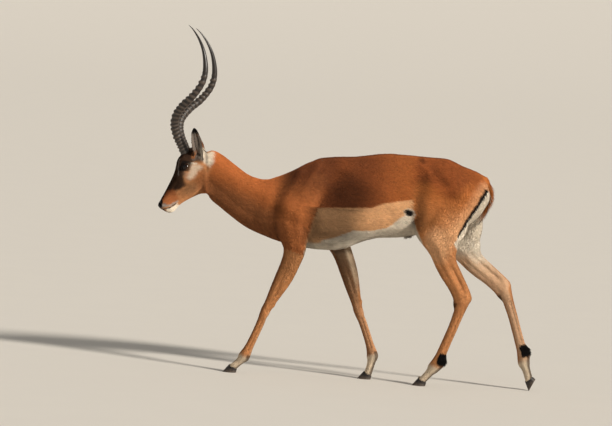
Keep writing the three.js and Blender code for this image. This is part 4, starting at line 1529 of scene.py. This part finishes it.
    def _head(self, painter: Painter) -> None:
        """Cheeks, bridge, forehead, muzzle, chin and the rings round the eyes, with painted shade under the
        jaw and round the eyes.
        """
        c, lay = self.colours, painter.lay
        patch, line, spot = painter.patch, painter.line, painter.spot
        x, z = painter.flat.T
        head = ease(-0.575, -0.605, x + 0.35 * np.maximum(0.84 - z, 0)) * ease(0.6, 0.62, z)
        lay(c.cheek, head)
        lay(c.muzzle, 0.5 * head * spot((-0.626, 0.79), 0.03, 0.04, 0, 0.5))
        under = ease(0.03, 0.004, z - np.interp(x, [-0.79, -0.73, -0.62], [0.64, 0.655, 0.725]))
        lay(c.jaw, 0.8 * head * under)
        lay(c.jaw, 0.55 * head * spot((-0.668, 0.745), 0.03, 0.02, 35, 0.5))
        # painted shade under the jaw
        painter.darken(0.38 * head * spot((-0.676, 0.752), 0.06, 0.026, 35, 0.6))
        bridge = [(-0.83, 0.684), (-0.815, 0.72), (-0.8, 0.75), (-0.78, 0.785), (-0.764, 0.83),
                  (-0.754, 0.872), (-0.744, 0.925), (-0.706, 0.955), (-0.655, 0.955), (-0.622, 0.925),
                  (-0.614, 0.884), (-0.613, 0.866), (-0.638, 0.862), (-0.672, 0.861), (-0.688, 0.848),
                  (-0.692, 0.826), (-0.698, 0.795), (-0.689, 0.758), (-0.713, 0.742), (-0.742, 0.73),
                  (-0.766, 0.712), (-0.788, 0.682)]
        dark = patch(bridge, 0.0075)
        lay(c.bridge, 0.94 * dark * ease(-0.55, -0.62, x))
        lay(c.crown, 0.8 * dark * ease(0.86, 0.9, z))
        lay(c.black, 0.55 * dark * ease(0.03, 0.012, painter.away) * ease(0.8, 0.74, z))
        nape = [(-0.632, 0.96), (-0.604, 0.936), (-0.582, 0.904), (-0.581, 0.866), (-0.594, 0.848),
                (-0.618, 0.862), (-0.63, 0.89), (-0.634, 0.93)]
        lay(c.belly, 0.92 * patch(nape, 0.01) * ease(0.006, 0.018, painter.away))
        lay(c.shade, 0.35 * spot((-0.686, 0.8), 0.012, 0.02, 20, 0.5) * head)
        muzzle = [(-0.772, 0.728), (-0.735, 0.737), (-0.72, 0.704), (-0.744, 0.677), (-0.773, 0.669),
                  (-0.79, 0.692)]
        lay(c.muzzle, 0.75 * patch(muzzle, 0.009) * ease(0.012, 0.02, painter.away))
        before = [(-0.722, 0.866), (-0.7235, 0.838), (-0.72, 0.8)]
        lay(c.face_line, 0.75 * line(before, 0.0018, 0.0026))
        fade = [(-0.674, 0.85), (-0.636, 0.851), (-0.622, 0.843), (-0.642, 0.827), (-0.655, 0.802),
                (-0.672, 0.785), (-0.684, 0.794), (-0.676, 0.82)]
        lay(c.streak, 0.78 * patch(fade, 0.009) * head)
        brow = [(-0.676, 0.855), (-0.658, 0.854), (-0.646, 0.852)]
        lay(c.streak, line(brow, 0.0036, 0.0022))
        for eye in EYES.values():
            _, over, _, width = eye.measured(painter.points)
            # a black ring round each eye, partly dark skin and partly painted shade
            lay(c.black, 0.85 * ease(2.6, 1.8, width + 0.35 * (over < 0)))

    def _ear(self, painter: Painter, ear: Ear) -> None:
        """One ear: brown behind, pale with dark lines inside, black at the tip; the inside is greyed,
        darkened low down and along the lines as painted shade.
        """
        c, lay = self.colours, painter.lay
        share, sideways, front = ear.opening(painter.points)
        on = (to_segment(painter.points, ear.base, ear.tip)[1] < 0.036) * ease(0.02, 0.16, share)
        lay(c.ear_back, on * (front <= 0))
        lay(c.belly, 0.8 * on * (front <= 0) * ease(0.4, 0.16, share) * ease(-0.1, 0.4, sideways))
        x, z = painter.flat.T
        axis = np.interp(z, [ear.base[2], ear.tip[2]], [ear.base[0], ear.tip[0]])
        inside = on * (front > 0)
        # painted shade: the pale inside of the ear is greyed, darkest low down and along two lines between
        # the rows of hair
        lay(c.ear_inside, inside)
        lay(c.ear_low, 0.8 * inside * ease(0.5, 0.25, share))
        stripes = np.minimum(np.abs(sideways - 0.3), np.abs(sideways + 0.34))
        lay(c.ear_line, 0.9 * inside * ease(0.19, 0.09, stripes) * ease(0.97, 0.8, share))
        lay(c.dark, 0.85 * on * ease(0.78, 0.92, np.abs(sideways)) * ease(0.15, 0.35, share))
        lay(c.belly, 0.9 * on * ease(0.004, 0.012, x - axis) * ease(0.46, 0.3, share))
        lay(c.black, on * ease(0.76, 0.86, share))

    def _bare(self, painter: Painter) -> Array:
        """Nose, lips and lid margins: paints them dark and says how moist they are."""
        c, lay = self.colours, painter.lay
        patch, line = painter.patch, painter.line
        pad = [(-0.84, 0.69), (-0.805, 0.705), (-0.79, 0.696), (-0.7815, 0.684), (-0.784, 0.664),
               (-0.8, 0.654), (-0.84, 0.65)]
        nose = patch(pad, 0.0016)
        lip = [(-0.778, 0.668), (-0.749, 0.672), (-0.723, 0.69)]
        grey = tuple(0.74 * np.array(c.lip))
        upper = line([(-0.797, 0.661), (-0.775, 0.671)], 0.0085, 0.004)
        lay(grey, 0.9 * upper * (painter.away > 0.004))
        lay(c.lip, 0.85 * line(lip, 0.004, 0.0022))
        lay(grey, 0.85 * line([(-0.802, 0.647), (-0.779, 0.647)], 0.0085, 0.0035))
        chin = [(-0.765, 0.6595), (-0.745, 0.666), (-0.725, 0.68), (-0.712, 0.668), (-0.722, 0.63),
                (-0.765, 0.63)]
        lay(c.belly, patch(chin, 0.004))
        margin = line(MOUTH, 0.0016, 0.001)
        lay(c.black, margin)
        lay(c.black, nose)
        wet = np.maximum(nose, 0.5 * margin)
        for eye in EYES.values():
            width = eye.measured(painter.points)[3]
            wet = np.maximum(wet, 0.8 * ease(1.22, 1.1, width))
        return wet


# ---- Coat ----


@dataclass(frozen=True)
class Hairs:
    """Where hairs are rooted in the skin, and how each one grows."""

    roots: Array
    normals: Array
    ways: Array
    lengths: Array
    widths: Array
    places: Array
    colours: Array

    def chosen(self, which: Array) -> Hairs:
        """Some of the hairs."""
        return Hairs(*(getattr(self, name)[which] for name in self.__dataclass_fields__))


class Field:
    """The skin as a field that hair is sown on."""

    def __init__(self, skin: Object, lie: Lie, markings: Markings) -> None:
        """Reads the skin's triangles, normals and unwrap."""
        mesh = skin.data
        self.lie = lie
        self.markings = markings
        self.points = points_of(mesh)
        self.normals = normals_of(mesh)
        corners = np.empty(len(mesh.loops), np.int32)
        mesh.loops.foreach_get("vertex_index", corners)
        self.corners = corners.reshape(-1, 3)
        unwrap = np.empty(len(mesh.loops) * 2, np.float32)
        mesh.uv_layers[ATLAS].uv.foreach_get("vector", unwrap)
        self.unwrap = unwrap.reshape(-1, 3, 2)
        a, b, c = (self.points[self.corners[:, k]] for k in range(3))
        crossed = np.cross(b - a, c - a)
        self.areas = 0.5 * np.linalg.norm(crossed, axis=1)
        self.faced = unit(crossed)
        self.middles = (a + b + c) / 3
        self.part, _, self.hair, self.width = lie.read(self.middles, self.faced)
        self.tree = BVHTree.FromPolygons(self.points.tolist(), self.corners.tolist())

    def above(self, points: Array, heights: Array) -> Array:
        """The places at given heights over the skin, next to the given points."""
        placed = np.empty_like(points)
        for k, (point, height) in enumerate(zip(points.tolist(), heights.tolist())):
            place, normal, _, _ = self.tree.find_nearest(point)
            placed[k] = place + height * normal
        return placed

    def sow(self, density: Array, rng: np.random.Generator) -> Hairs:
        """Roots hairs in the skin.

        Args:
            density: how many hairs each square metre of each triangle takes.
            rng: the source of chance.

        Returns:
            The hairs, with the length, width, direction and colour of the coat at each root.
        """
        run = np.cumsum(density * self.areas)
        count = int(run[-1])
        steps = (np.arange(count) + rng.uniform(0, 1, count)) * run[-1] / max(count, 1)
        chosen = np.minimum(np.searchsorted(run, steps), len(run) - 1)
        share = rng.dirichlet((1, 1, 1), count)
        ids = self.corners[chosen]
        roots = np.einsum("nk,nkc->nc", share, self.points[ids])
        normals = unit(np.einsum("nk,nkc->nc", share, self.normals[ids]))
        places = np.einsum("nk,nkc->nc", share, self.unwrap[chosen])
        _, ways, lengths, widths = self.lie.read(roots, normals)
        colours = self.markings.paint(roots, normals)[0]
        return Hairs(roots, normals, ways, lengths, widths, places, colours)


def hair_mesh(
    name: str, hairs: Hairs, lift: Array, bow: Array, *, segments: int = 1, crests: Array | None = None
) -> Mesh:
    """Joins hairs into one mesh of closed, flattened spikes.

    Args:
        name: the mesh's name.
        hairs: the hairs, whose colours go on the mesh, darker at the root than at the tip as painted shade.
        lift: how steeply each one leaves the skin, in radians.
        bow: how far each one's tip is carried beyond a straight line, as rows of a vector.
        segments: how many stretches each one has.
        crests: where the ridge of each one's first stretch stands, or none to follow the straight line.

    Returns:
        The mesh, with the colours and the atlas.
    """
    flank = unit(np.cross(hairs.normals, hairs.ways))
    heading = hairs.ways * np.cos(lift)[:, None] + hairs.normals * np.sin(lift)[:, None]
    base = hairs.roots - ROOT_DEPTH * hairs.normals
    rows, shades = [], []
    for step in range(segments):
        share = step / segments
        middle = base + heading * (hairs.lengths * share)[:, None] + bow * share**2
        half = 0.5 * hairs.widths * (1 - 0.35 * share)
        crest = hairs.normals * (RIDGE * hairs.widths * (1 - 0.4 * share))[:, None]
        top = middle + crest if crests is None else crests
        rows += [middle - flank * half[:, None], middle + flank * half[:, None], top]
        low = ROOT_SHADE + 0.09 * share
        shades += [low, low, RIDGE_SHADE + 0.04 * share]
    rows.append(base + heading * hairs.lengths[:, None] + bow)
    shades.append(TIP_SHADE)
    size = 3 * segments + 1
    faces = [(0, 2, 1)]
    for step in range(segments - 1):
        for k in range(3):
            a, b = 3 * step + k, 3 * step + (k + 1) % 3
            faces += [(a, b, b + 3), (a, b + 3, a + 3)]
    last = 3 * segments - 3
    faces += [(last + k, last + (k + 1) % 3, size - 1) for k in range(3)]
    corners = (np.array(faces)[None] + np.arange(len(hairs.roots))[:, None, None] * size).reshape(-1, 3)
    mesh = new_mesh(name, np.stack(rows, axis=1).reshape(-1, 3), corners)
    tone = np.array(shades)[None, :, None] * hairs.colours[:, None, :]
    set_attribute(mesh, COLOUR, np.clip(tone, 0, 1).reshape(-1, 3))
    spread = PATCH_HALF * np.array([(-1, -1), (1, -1), (0, 0)] * segments + [(0, 1)])
    atlas = (hairs.places[:, None] + spread[None]).reshape(-1, 2)
    layer = mesh.uv_layers.new(name=ATLAS)
    layer.uv.foreach_set("vector", np.ascontiguousarray(atlas[corners.ravel()], np.float32).ravel())
    return mesh


# How many times over the tufts cover each kind of part, by the first word of its name.
COVERAGE = {"head": 2.3, "neck": 2.5, "trunk": 2.0, "tail": 1.6, "leg": 1.9, "ear": 1.4}


@dataclass
class Coat:
    """Short tufts over the whole skin, in one piece for each part and side."""

    field: Field
    material: Material
    lift_degrees: float = 3.6
    jitter_degrees: float = 10.0
    ridge_at: float = 0.28
    clearance: float = 0.0002
    lengths: Flat = (0.75, 1.2)
    widths: Flat = (0.7, 1.2)
    lifts: Flat = (0.3, 1.6)
    tone_spread: float = 0.075
    hue_spread: float = 0.02
    most_triangles: int = 196_000
    quick_share: float = 0.35

    def build(self) -> list[Object]:
        """Sows and builds the coat, and returns its pieces."""
        field = self.field
        rng = np.random.default_rng(SEED)
        share = 1
        coverage = share * np.array([COVERAGE[kind.family] for kind in field.lie.parts])[field.part]
        density = 2 * coverage / (field.hair * field.width) * self._grows(field.middles)
        hairs = field.sow(density, rng)
        count = len(hairs.roots)
        turn = np.radians(self.jitter_degrees) * rng.normal(size=count)
        flank = np.cross(hairs.normals, hairs.ways)
        ways = hairs.ways * np.cos(turn)[:, None] + flank * np.sin(turn)[:, None]
        lengths = hairs.lengths * rng.uniform(*self.lengths, count)
        widths = hairs.widths * rng.uniform(*self.widths, count)
        tone = rng.normal(1, self.tone_spread, (count, 1))
        tone = tone * (1 + self.hue_spread * rng.normal(size=(count, 3)))
        colours = np.clip(hairs.colours * tone, 0, 1)
        hairs = replace(hairs, ways=ways, lengths=lengths, widths=widths, colours=colours)
        part = field.lie.read(hairs.roots, hairs.normals)[0]
        lift = np.radians(self.lift_degrees) * rng.uniform(*self.lifts, count)
        flat_tips = hairs.roots + hairs.ways * hairs.lengths[:, None]
        tips = field.above(flat_tips, hairs.lengths * np.sin(lift) + self.clearance)
        ridge = hairs.roots + hairs.ways * (self.ridge_at * hairs.lengths)[:, None]
        crests = field.above(ridge, RIDGE * widths + self.ridge_at * hairs.lengths * np.sin(lift))
        pieces = []
        for index, kind in enumerate(field.lie.parts):
            for name, side in SIDES.items():
                divided = kind in (Part.HEAD, Part.NECK, Part.TRUNK)
                which = part == index
                if divided:
                    which &= (hairs.roots[:, 1] * side) > 0
                elif side > 0:
                    continue
                which = np.flatnonzero(which)
                if len(which) > self.most_triangles // 4:
                    which = np.sort(rng.choice(which, self.most_triangles // 4, replace=False))
                label = f"coat_{kind.value}_{name}" if divided else f"coat_{kind.value}"
                straight = hairs.roots[which] + self._heading(hairs, lift, which)
                bow = tips[which] - straight
                mesh = hair_mesh(label, hairs.chosen(which), lift[which], bow, crests=crests[which])
                mesh.materials.append(self.material)
                piece = new_object(label, mesh)
                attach(piece, ROOT)
                pieces.append(piece)
        return pieces

    @staticmethod
    def _heading(hairs: Hairs, lift: Array, which: Array) -> Array:
        """How far each chosen hair would reach if it grew straight."""
        ahead = hairs.ways[which] * np.cos(lift[which])[:, None]
        up = hairs.normals[which] * (np.sin(lift[which]) - ROOT_DEPTH / hairs.lengths[which])[:, None]
        return (ahead + up) * hairs.lengths[which][:, None]

    @staticmethod
    def _grows(points: Array) -> Array:
        """Where hair grows: 0 on the nose, the lips' edge, the eyes and under the horns, else 1."""
        pad = [(-0.84, 0.69), (-0.803, 0.703), (-0.792, 0.695), (-0.7845, 0.684), (-0.787, 0.664),
               (-0.8, 0.654), (-0.84, 0.65)]
        flat = points[:, [0, 2]]
        grows = 1 - ease(-0.001, 0.001, inside_by(flat, pad))
        grows = np.minimum(grows, ease(0.0016, 0.0028, to_path(flat, MOUTH)))
        for eye in EYES.values():
            grows = np.minimum(grows, ease(1.16, 1.26, eye.measured(points)[3]))
        for horn in HORNS.values():
            grows = np.minimum(grows, ease(0.017, 0.02, to_path(points, horn.knots()[:3])))
        return grows


@dataclass
class Locks:
    """Long hair: on the tail, in the ears, on the hind cannons, and small fringes elsewhere."""

    field: Field
    material: Material
    segments: int = 3
    lengths: Flat = (0.6, 1.1)
    widths: Flat = (0.7, 1.2)
    lifts: Flat = (0.5, 1.4)
    bows: Flat = (0.6, 1.3)
    coat_share: float = 0.4
    straggle: float = 0.11
    scatter: float = 0.06
    tone_spread: float = 0.12

    def build(self) -> list[Object]:
        """Builds every kind of long hair, and returns the pieces."""
        pieces = [self._tail(), self._crown(), self._chin(), self._sheath()]
        for leg in LEGS:
            pieces.append(self._coronet(leg))
            if not leg.fore:
                pieces.append(self._gland(leg))
        for name, ear in EARS.items():
            pieces.append(self._ear(name, ear))
        for name, eye in EYES.items():
            pieces.append(self._lashes(name, eye))
        return pieces

    def _grown(
        self,
        name: str,
        slot: str,
        amount: Array,
        spacing: float,
        sizes: Flat,
        lift: float,
        bow: Point = (0, 0, 0),
        steer: Array | None = None,
        colour: Colour | None = None,
    ) -> Object:
        """Grows one piece of long hair.

        Args:
            name: the piece's name.
            slot: the record's material slot, which is not used.
            amount: how thickly each triangle of the skin is covered, from 0 to 1.
            spacing: the distance between roots where it is thickest.
            sizes: the hair's length and its width at the root.
            lift: how steeply it leaves the skin, in degrees.
            bow: how far a tip is carried aside.
            steer: a direction that the hair also follows, beside the coat's own.
            colour: its colour, or none to take the skin's.

        Returns:
            The piece.
        """
        rng = np.random.default_rng(SEED + len(name))
        hairs = self.field.sow(amount / spacing**2, rng)
        count = len(hairs.roots)
        ways = hairs.ways if steer is None else hairs.ways * self.coat_share + steer
        ways = ways + self.straggle * rng.normal(size=(count, 3))
        ways = along_skin(ways, hairs.normals)
        colours = hairs.colours if colour is None else np.tile(screen(colour), (count, 1))
        colours = np.clip(colours * rng.normal(1, self.tone_spread, (count, 1)), 0, 1)
        lengths = sizes[0] * rng.uniform(*self.lengths, count)
        widths = sizes[1] * rng.uniform(*self.widths, count)
        hairs = replace(hairs, ways=ways, lengths=lengths, widths=widths, colours=colours)
        lifts = np.radians(lift) * rng.uniform(*self.lifts, count)
        bows = np.array(bow) * rng.uniform(*self.bows, (count, 1))
        bows = bows + self.scatter * sizes[0] * rng.normal(size=(count, 3))
        mesh = hair_mesh(name, hairs, lifts, bows, segments=self.segments)
        mesh.materials.append(self.material)
        piece = new_object(name, mesh)
        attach(piece, ROOT)
        return piece

    def _of(self, *parts: Part) -> Array:
        """Whether each triangle belongs to one of the parts."""
        return np.isin(self.field.part, [self.field.lie.parts.index(part) for part in parts])

    def _tail(self) -> Object:
        """The tail's fringe, white below and tan down the middle of its upper side."""
        z = self.field.middles[:, 2]
        amount = self._of(Part.TAIL) * ease(0.86, 0.82, z)
        bow = (0.004, 0, -0.006)
        return self._grown("tail_fringe", "tail_hair", amount, 0.0022, (0.034, 0.0019), 15, bow)

    def _crown(self) -> Object:
        """The dark hair that stands up between and behind the horns."""
        x, y, z = self.field.middles.T
        amount = ease(-0.715, -0.7, x) * ease(-0.64, -0.66, x)
        amount = amount * ease(0.034, 0.024, np.abs(y)) * (z > 0.88)
        return self._grown("crown_tuft", "coat_fawn", amount, 0.0021, (0.013, 0.0016), 26)

    def _chin(self) -> Object:
        """Thin bristles on the chin and lips."""
        x, _, z = self.field.middles.T
        amount = ease(-0.725, -0.74, x) * ease(0.664, 0.655, z) * ease(-0.8, -0.79, x)
        bow = (0.003, 0, -0.003)
        return self._grown("chin_bristles", "coat_fawn", amount, 0.0095, (0.01, 0.0004), 40, bow)

    def _sheath(self) -> Object:
        """The tuft at the end of the sheath."""
        away = np.linalg.norm(self.field.middles - np.array([0.252, 0, 0.614]), axis=1)
        amount = ease(0.022, 0.012, away)
        steer = np.array([-0.5, 0, -1.0])
        return self._grown("sheath_tuft", "coat_fawn", amount, 0.0022, (0.02, 0.0016), 30, steer=steer)

    def _gland(self, leg: Leg) -> Object:
        """The black tuft low on the back of a hind cannon."""
        share, ahead, _ = leg.measured(Joint.CANNON, self.field.middles)
        amount = self._of(leg.part) * ease(0.765, 0.8, share) * ease(0.925, 0.895, share)
        amount = amount * ease(-0.002, -0.006, ahead) * (share < 1)
        name = leg.part.value + "_gland"
        bow = (0.001, 0, -0.002)
        return self._grown(name, "coat_fawn", amount, 0.0018, (0.015, 0.0016), 17, bow, colour=(17, 14, 14))

    def _coronet(self, leg: Leg) -> Object:
        """The fringe that hangs over the top of the hooves."""
        pitch = math.radians(leg.pitch)
        at = self.field.middles - np.array([leg.toe, 0, 0])
        back = at[:, 0] * math.cos(pitch) + at[:, 2] * math.sin(pitch)
        up = at[:, 2] * math.cos(pitch) - at[:, 0] * math.sin(pitch)
        rim = 0.033 - 0.018 * np.clip((back - 0.027) / 0.033, 0, 1)
        amount = self._of(leg.part) * ease(0.01, 0.005, np.abs(up - rim - 0.005))
        amount = amount * (back > -0.01) * (back < 0.09)
        return self._grown(leg.part.value + "_coronet", "coat_fawn", amount, 0.0018, (0.009, 0.0013), 8)

    def _ear(self, name: str, ear: Ear) -> Object:
        """The long pale hair inside an ear, thickest along its edges."""
        share, sideways, front = ear.opening(self.field.middles)
        inside = self._of(Part["EAR_" + name.upper()]) * (front > 0)
        from_rib = np.abs(np.abs(sideways) - 0.32)
        bands = ease(0.8, 0.66, np.abs(sideways)) * (1 - 0.7 * ease(0.2, 0.08, from_rib))
        amount = inside * bands * ease(0.86, 0.7, share) * ease(0.08, 0.2, share)
        up, _, inwards = ear.axes()
        steer = 1.6 * unit(up) - 0.25 * inwards
        # pale inner-ear hair, greyed as painted shade
        pale = (152, 140, 130)
        label = f"ear_{name}_hair"
        return self._grown(label, "ear_coat", amount, 0.0015, (0.0115, 0.0005), 9, steer=steer, colour=pale)

    def _lashes(self, name: str, eye: EyeSeat) -> Object:
        """The lashes of an upper lid."""
        along, over, _, width = eye.measured(self.field.middles)
        edge = ease(1.08, 1.14, width) * ease(1.36, 1.24, width)
        amount = edge * (over > 0.3 * eye.half_high) * (np.abs(along) < 0.85 * eye.half_long)
        out, rearwards, upwards = eye.axes()
        lash = tuple(0.0035 * out - 0.002 * upwards)
        steer = -1.4 * upwards + 0.5 * rearwards
        label = f"eye_{name}_lashes"
        return self._grown(label, "coat_fawn", amount, 0.0016, (0.007, 0.0005), 48, lash, steer, (12, 10, 10))


# ---- Finishes ----


@dataclass(frozen=True)
class CoatFinish:
    """Short, close hair, or the skin under it."""

    name: str
    roughness: float = 0.62
    sheen: float = 0.0
    fleck: float = 0.1
    bump: float = 0.25
    wet_roughness: float = 0.22
    specular: float = 0.1
    sheen_roughness: float = 0.5

    def material(self) -> Material:
        """Makes the material, which takes its colours from the mesh."""
        graph = Graph(self.name)
        place = graph.place()
        fine = graph.noise(place, 900, 2)
        broad = graph.noise(place, 60, 3)
        shade = 1 + (fine - 0.5) * (2 * self.fleck) + (broad - 0.5) * self.fleck
        grey = graph.node("CombineColor", None, Red=shade, Green=shade, Blue=shade).outputs[0]
        colour = graph.mix(1.0, graph.attribute(COLOUR).outputs["Color"], grey, "MULTIPLY")
        wet = graph.number(GLOSS)
        roughness = self.roughness - wet * (self.roughness - self.wet_roughness) + (broad - 0.5) * 0.08
        height = fine + graph.noise(place, 330, 2)
        normal = graph.bump(height, self.bump, 0.0005)
        return graph.surface(
            Base_Color=colour, Roughness=roughness, Normal=normal, Sheen_Weight=self.sheen,
            Sheen_Roughness=self.sheen_roughness, Specular_IOR_Level=self.specular,
        )


@dataclass(frozen=True)
class HornFinish:
    """Dark keratin, paler and rougher on its worn ridges, glossy at the tip."""

    groove: Colour = (34, 27, 23)
    crest: Colour = (88, 76, 66)
    tip: Colour = (30, 26, 25)

    def material(self) -> Material:
        """Makes the material."""
        graph = Graph("horn_keratin")
        wear = graph.number("wear")
        share = graph.number("smooth_part")
        streaks = graph.noise(graph.place("grain", (900, 40, 1)), 1.0, 4)
        cloud = graph.noise(graph.place(), 45, 4)
        worn = graph.ramp(wear * 0.75 + streaks * 0.35 + cloud * 0.3 - 0.22, (0.12, 0), (0.85, 1))
        smooth = graph.ramp(share, (0.62, 0), (0.8, 1))
        colour = graph.mix(worn, flat_colour(self.groove), flat_colour(self.crest))
        colour = graph.mix(smooth * 0.85, colour, flat_colour(self.tip))
        roughness = 0.46 + worn * 0.16 - smooth * 0.14 + (streaks - 0.5) * 0.1
        normal = graph.bump(streaks + cloud * 0.4, 0.3, 0.0006)
        return graph.surface(Base_Color=colour, Roughness=roughness, Normal=normal, Specular_IOR_Level=0.5)


@dataclass(frozen=True)
class HoofFinish:
    """Black keratin with growth lines, greyed by dust near the ground."""

    keratin: Colour = (34, 28, 26)
    dust: Colour = (104, 90, 78)

    def material(self) -> Material:
        """Makes the material."""
        graph = Graph("hoof_keratin")
        up = graph.number("height_up")
        place = graph.place()
        cloud = graph.noise(place, 120, 4)
        lines = graph.noise(graph.place(None, (60, 60, 900)), 1.0, 3)
        dusty = graph.ramp(cloud * 0.8 + lines * 0.4 - up * 0.5, (0.25, 0), (0.75, 1))
        colour = graph.mix(dusty * 0.75, flat_colour(self.keratin), flat_colour(self.dust))
        roughness = 0.42 + dusty * 0.3
        normal = graph.bump(lines + cloud * 0.5, 0.35, 0.0005)
        return graph.surface(Base_Color=colour, Roughness=roughness, Normal=normal, Specular_IOR_Level=0.45)


@dataclass(frozen=True)
class EyeFinish:
    """A dark brown iris with a wide, lying pupil, under a wet cornea."""

    iris: Colour = (44, 25, 15)
    rim: Colour = (14, 10, 9)
    pupil: Colour = (8, 9, 14)
    white: Colour = (92, 70, 58)

    def material(self) -> Material:
        """Makes the material."""
        graph = Graph("moist_eye")
        gaze = graph.attribute("gaze").outputs["Vector"]
        apart = graph.node("SeparateXYZ", None, Vector=gaze)
        along, over = Value(graph, apart.outputs[0]), Value(graph, apart.outputs[1])
        radius = (along * along + over * over) ** 0.5
        lying = ((along * 1.85) ** 2.0 + (over * 4.3) ** 2.0) ** 0.5
        fibres = graph.noise(graph.place("gaze", (14, 14, 14)), 2.2, 4)
        rim = flat_colour(self.rim)
        iris = graph.mix(graph.ramp(fibres, (0.3, 0), (0.8, 1)), rim, flat_colour(self.iris))
        colour = graph.mix(graph.ramp(radius, (0.68, 0), (0.76, 1)), iris, rim)
        colour = graph.mix(graph.ramp(radius, (0.8, 0), (0.88, 1)), colour, flat_colour(self.white))
        colour = graph.mix(graph.ramp(lying, (0.9, 1), (1.0, 0)), colour, flat_colour(self.pupil))
        return graph.surface(
            Base_Color=colour, Roughness=0.5, Coat_Weight=1.0, Coat_Roughness=0.04, Coat_IOR=1.34,
            Specular_IOR_Level=0.0,
        )


# ---- Studio ----


@dataclass(frozen=True)
class Studio:
    """A pale floor that rises gently far away, soft light, and the camera on the left side."""

    target: Point = (-0.183, 0.0, 0.678)
    distance: float = 15.0
    azimuth: float = 6.0
    elevation: float = 3.0
    roll: float = 3.5
    lens: float = 212.6
    flat_radius: float = 60.0
    floor_radius: float = 460.0
    sweep: float = 0.0005
    sides: int = 96
    flat_rings: int = 14
    raised_rings: int = 39
    floor_colour: Colour = (224, 219, 211)
    key_from: Point = (0.76, -0.48, 0.44)
    key_energy: float = 4.3
    key_degrees: float = 8.0
    key_colour: Colour = (1.0, 0.94, 0.85)
    sky_colour: Colour = (1.0, 0.98, 0.94)
    sky_strength: float = 0.3
    sensor: float = 36.0
    farthest: float = 1500.0

    def build(self) -> None:
        """Makes the floor, the lights and the camera."""
        self._floor()
        self._lights()
        self._camera()

    def _floor(self) -> None:
        """A wide round floor, flat for a long way and then a shallow bowl."""
        turns = np.linspace(0, math.tau, self.sides, endpoint=False)
        flat = np.geomspace(1.0, self.flat_radius, self.flat_rings)
        raised = np.linspace(self.flat_radius, self.floor_radius, self.raised_rings + 1)[1:]
        rings = []
        for radius in [*flat, *raised]:
            height = self.sweep * max(radius - self.flat_radius, 0) ** 2
            level = np.full(self.sides, height)
            rings.append(np.stack([radius * np.cos(turns), radius * np.sin(turns), level], axis=1))
        points, faces = lofted(np.array(rings), ends=False)
        k = np.arange(self.sides)
        middle = np.full(self.sides, len(points))
        points = np.vstack([points, [[0, 0, 0]]])
        faces = np.vstack([faces, np.stack([(k + 1) % self.sides, k, middle], axis=1)])
        floor = smooth_piece("studio_floor", points, faces[:, ::-1])
        floor.data.materials.append(self._floor_material())

    def _floor_material(self) -> Material:
        """Plain pale matt floor."""
        graph = Graph("pale_floor")
        grain = graph.noise(graph.place(), 3.0, 4)
        darker = tuple(0.97 * screen(self.floor_colour))
        colour = graph.mix(grain, flat_colour(self.floor_colour), darker)
        return graph.surface(Base_Color=colour, Roughness=0.9, Specular_IOR_Level=0.1)

    def _lights(self) -> None:
        """A broad low sun-like key from behind the animal, and a pale sky that fills the shade."""
        key = bpy.data.lights.new("key", "SUN")
        key.energy = self.key_energy
        key.angle = math.radians(self.key_degrees)
        key.color = self.key_colour
        lamp = bpy.data.objects.new("key", key)
        lamp.rotation_euler = Vector(self.key_from).to_track_quat("Z", "Y").to_euler()
        bpy.context.scene.collection.objects.link(lamp)
        world = bpy.data.worlds.new("soft_sky")
        world.use_nodes = True
        backdrop = world.node_tree.nodes["Background"]
        backdrop.inputs["Color"].default_value = (*self.sky_colour, 1)
        backdrop.inputs["Strength"].default_value = self.sky_strength
        bpy.context.scene.world = world

    def _camera(self) -> None:
        """A long lens far off to the left side, tipped a little."""
        camera = bpy.data.cameras.new("camera")
        camera.lens = self.lens
        camera.sensor_width = self.sensor
        camera.clip_end = self.farthest
        turn, climb = math.radians(self.azimuth), math.radians(self.elevation)
        back = Vector((math.sin(turn) * math.cos(climb), -math.cos(turn) * math.cos(climb), math.sin(climb)))
        placed = bpy.data.objects.new("camera", camera)
        facing = back.to_track_quat("Z", "Y").to_matrix().to_4x4()
        tipped = Matrix.Rotation(math.radians(self.roll), 4, "Z")
        placed.matrix_world = Matrix.Translation(Vector(self.target) + self.distance * back) @ facing @ tipped
        bpy.context.scene.collection.objects.link(placed)
        bpy.context.scene.camera = placed
        bpy.context.scene.view_settings.view_transform = "Standard"


# ---- Everything ----


def unwrapped(piece: Object) -> None:
    """Lays a piece's surface out flat, by its own shape, as the atlas."""
    piece.data.uv_layers.new(name=ATLAS)
    bpy.context.view_layer.objects.active = piece
    for other in bpy.context.scene.objects:
        other.select_set(other is piece)
    bpy.ops.object.mode_set(mode="EDIT")
    bpy.ops.mesh.select_all(action="SELECT")
    bpy.ops.uv.smart_project(angle_limit=ATLAS_ANGLE, island_margin=ATLAS_MARGIN)
    bpy.ops.object.mode_set(mode="OBJECT")


def main() -> None:
    """Builds the whole animal and the studio round it."""
    logging.basicConfig(level=logging.INFO)
    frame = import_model()
    nodes = frame["nodes"]
    Studio().build()
    LOG.info("studio ready")
    skin = Skin().build(nodes)
    unwrapped(skin)
    lie = Lie()
    markings = Markings(lie)
    colours, wet = markings.paint(points_of(skin.data), normals_of(skin.data))
    set_attribute(skin.data, COLOUR, colours)
    set_attribute(skin.data, GLOSS, wet)
    skin.data.materials.append(CoatFinish("short_coat_ground").material())
    LOG.info("skin: %d triangles", len(skin.data.polygons))
    hair = CoatFinish("short_coat", bump=0.1).material()
    field = Field(skin, lie, markings)
    for piece in [*Coat(field, hair).build(), *Locks(field, hair).build()]:
        LOG.info("%s: %d triangles", piece.name, len(piece.data.polygons))
    horn_finish = HornFinish().material()
    hoof_finish = HoofFinish().material()
    eye_finish = EyeFinish().material()
    for name, horn in HORNS.items():
        horn.build("horn_" + name).data.materials.append(horn_finish)
    for name, claw in all_claws().items():
        claw.build(name).data.materials.append(hoof_finish)
    for name, seat in EYES.items():
        Eyeball(seat).build("eye_" + name).data.materials.append(eye_finish)
    LOG.info("horns, hooves and eyes ready")


if __name__ == "__main__":
    main()
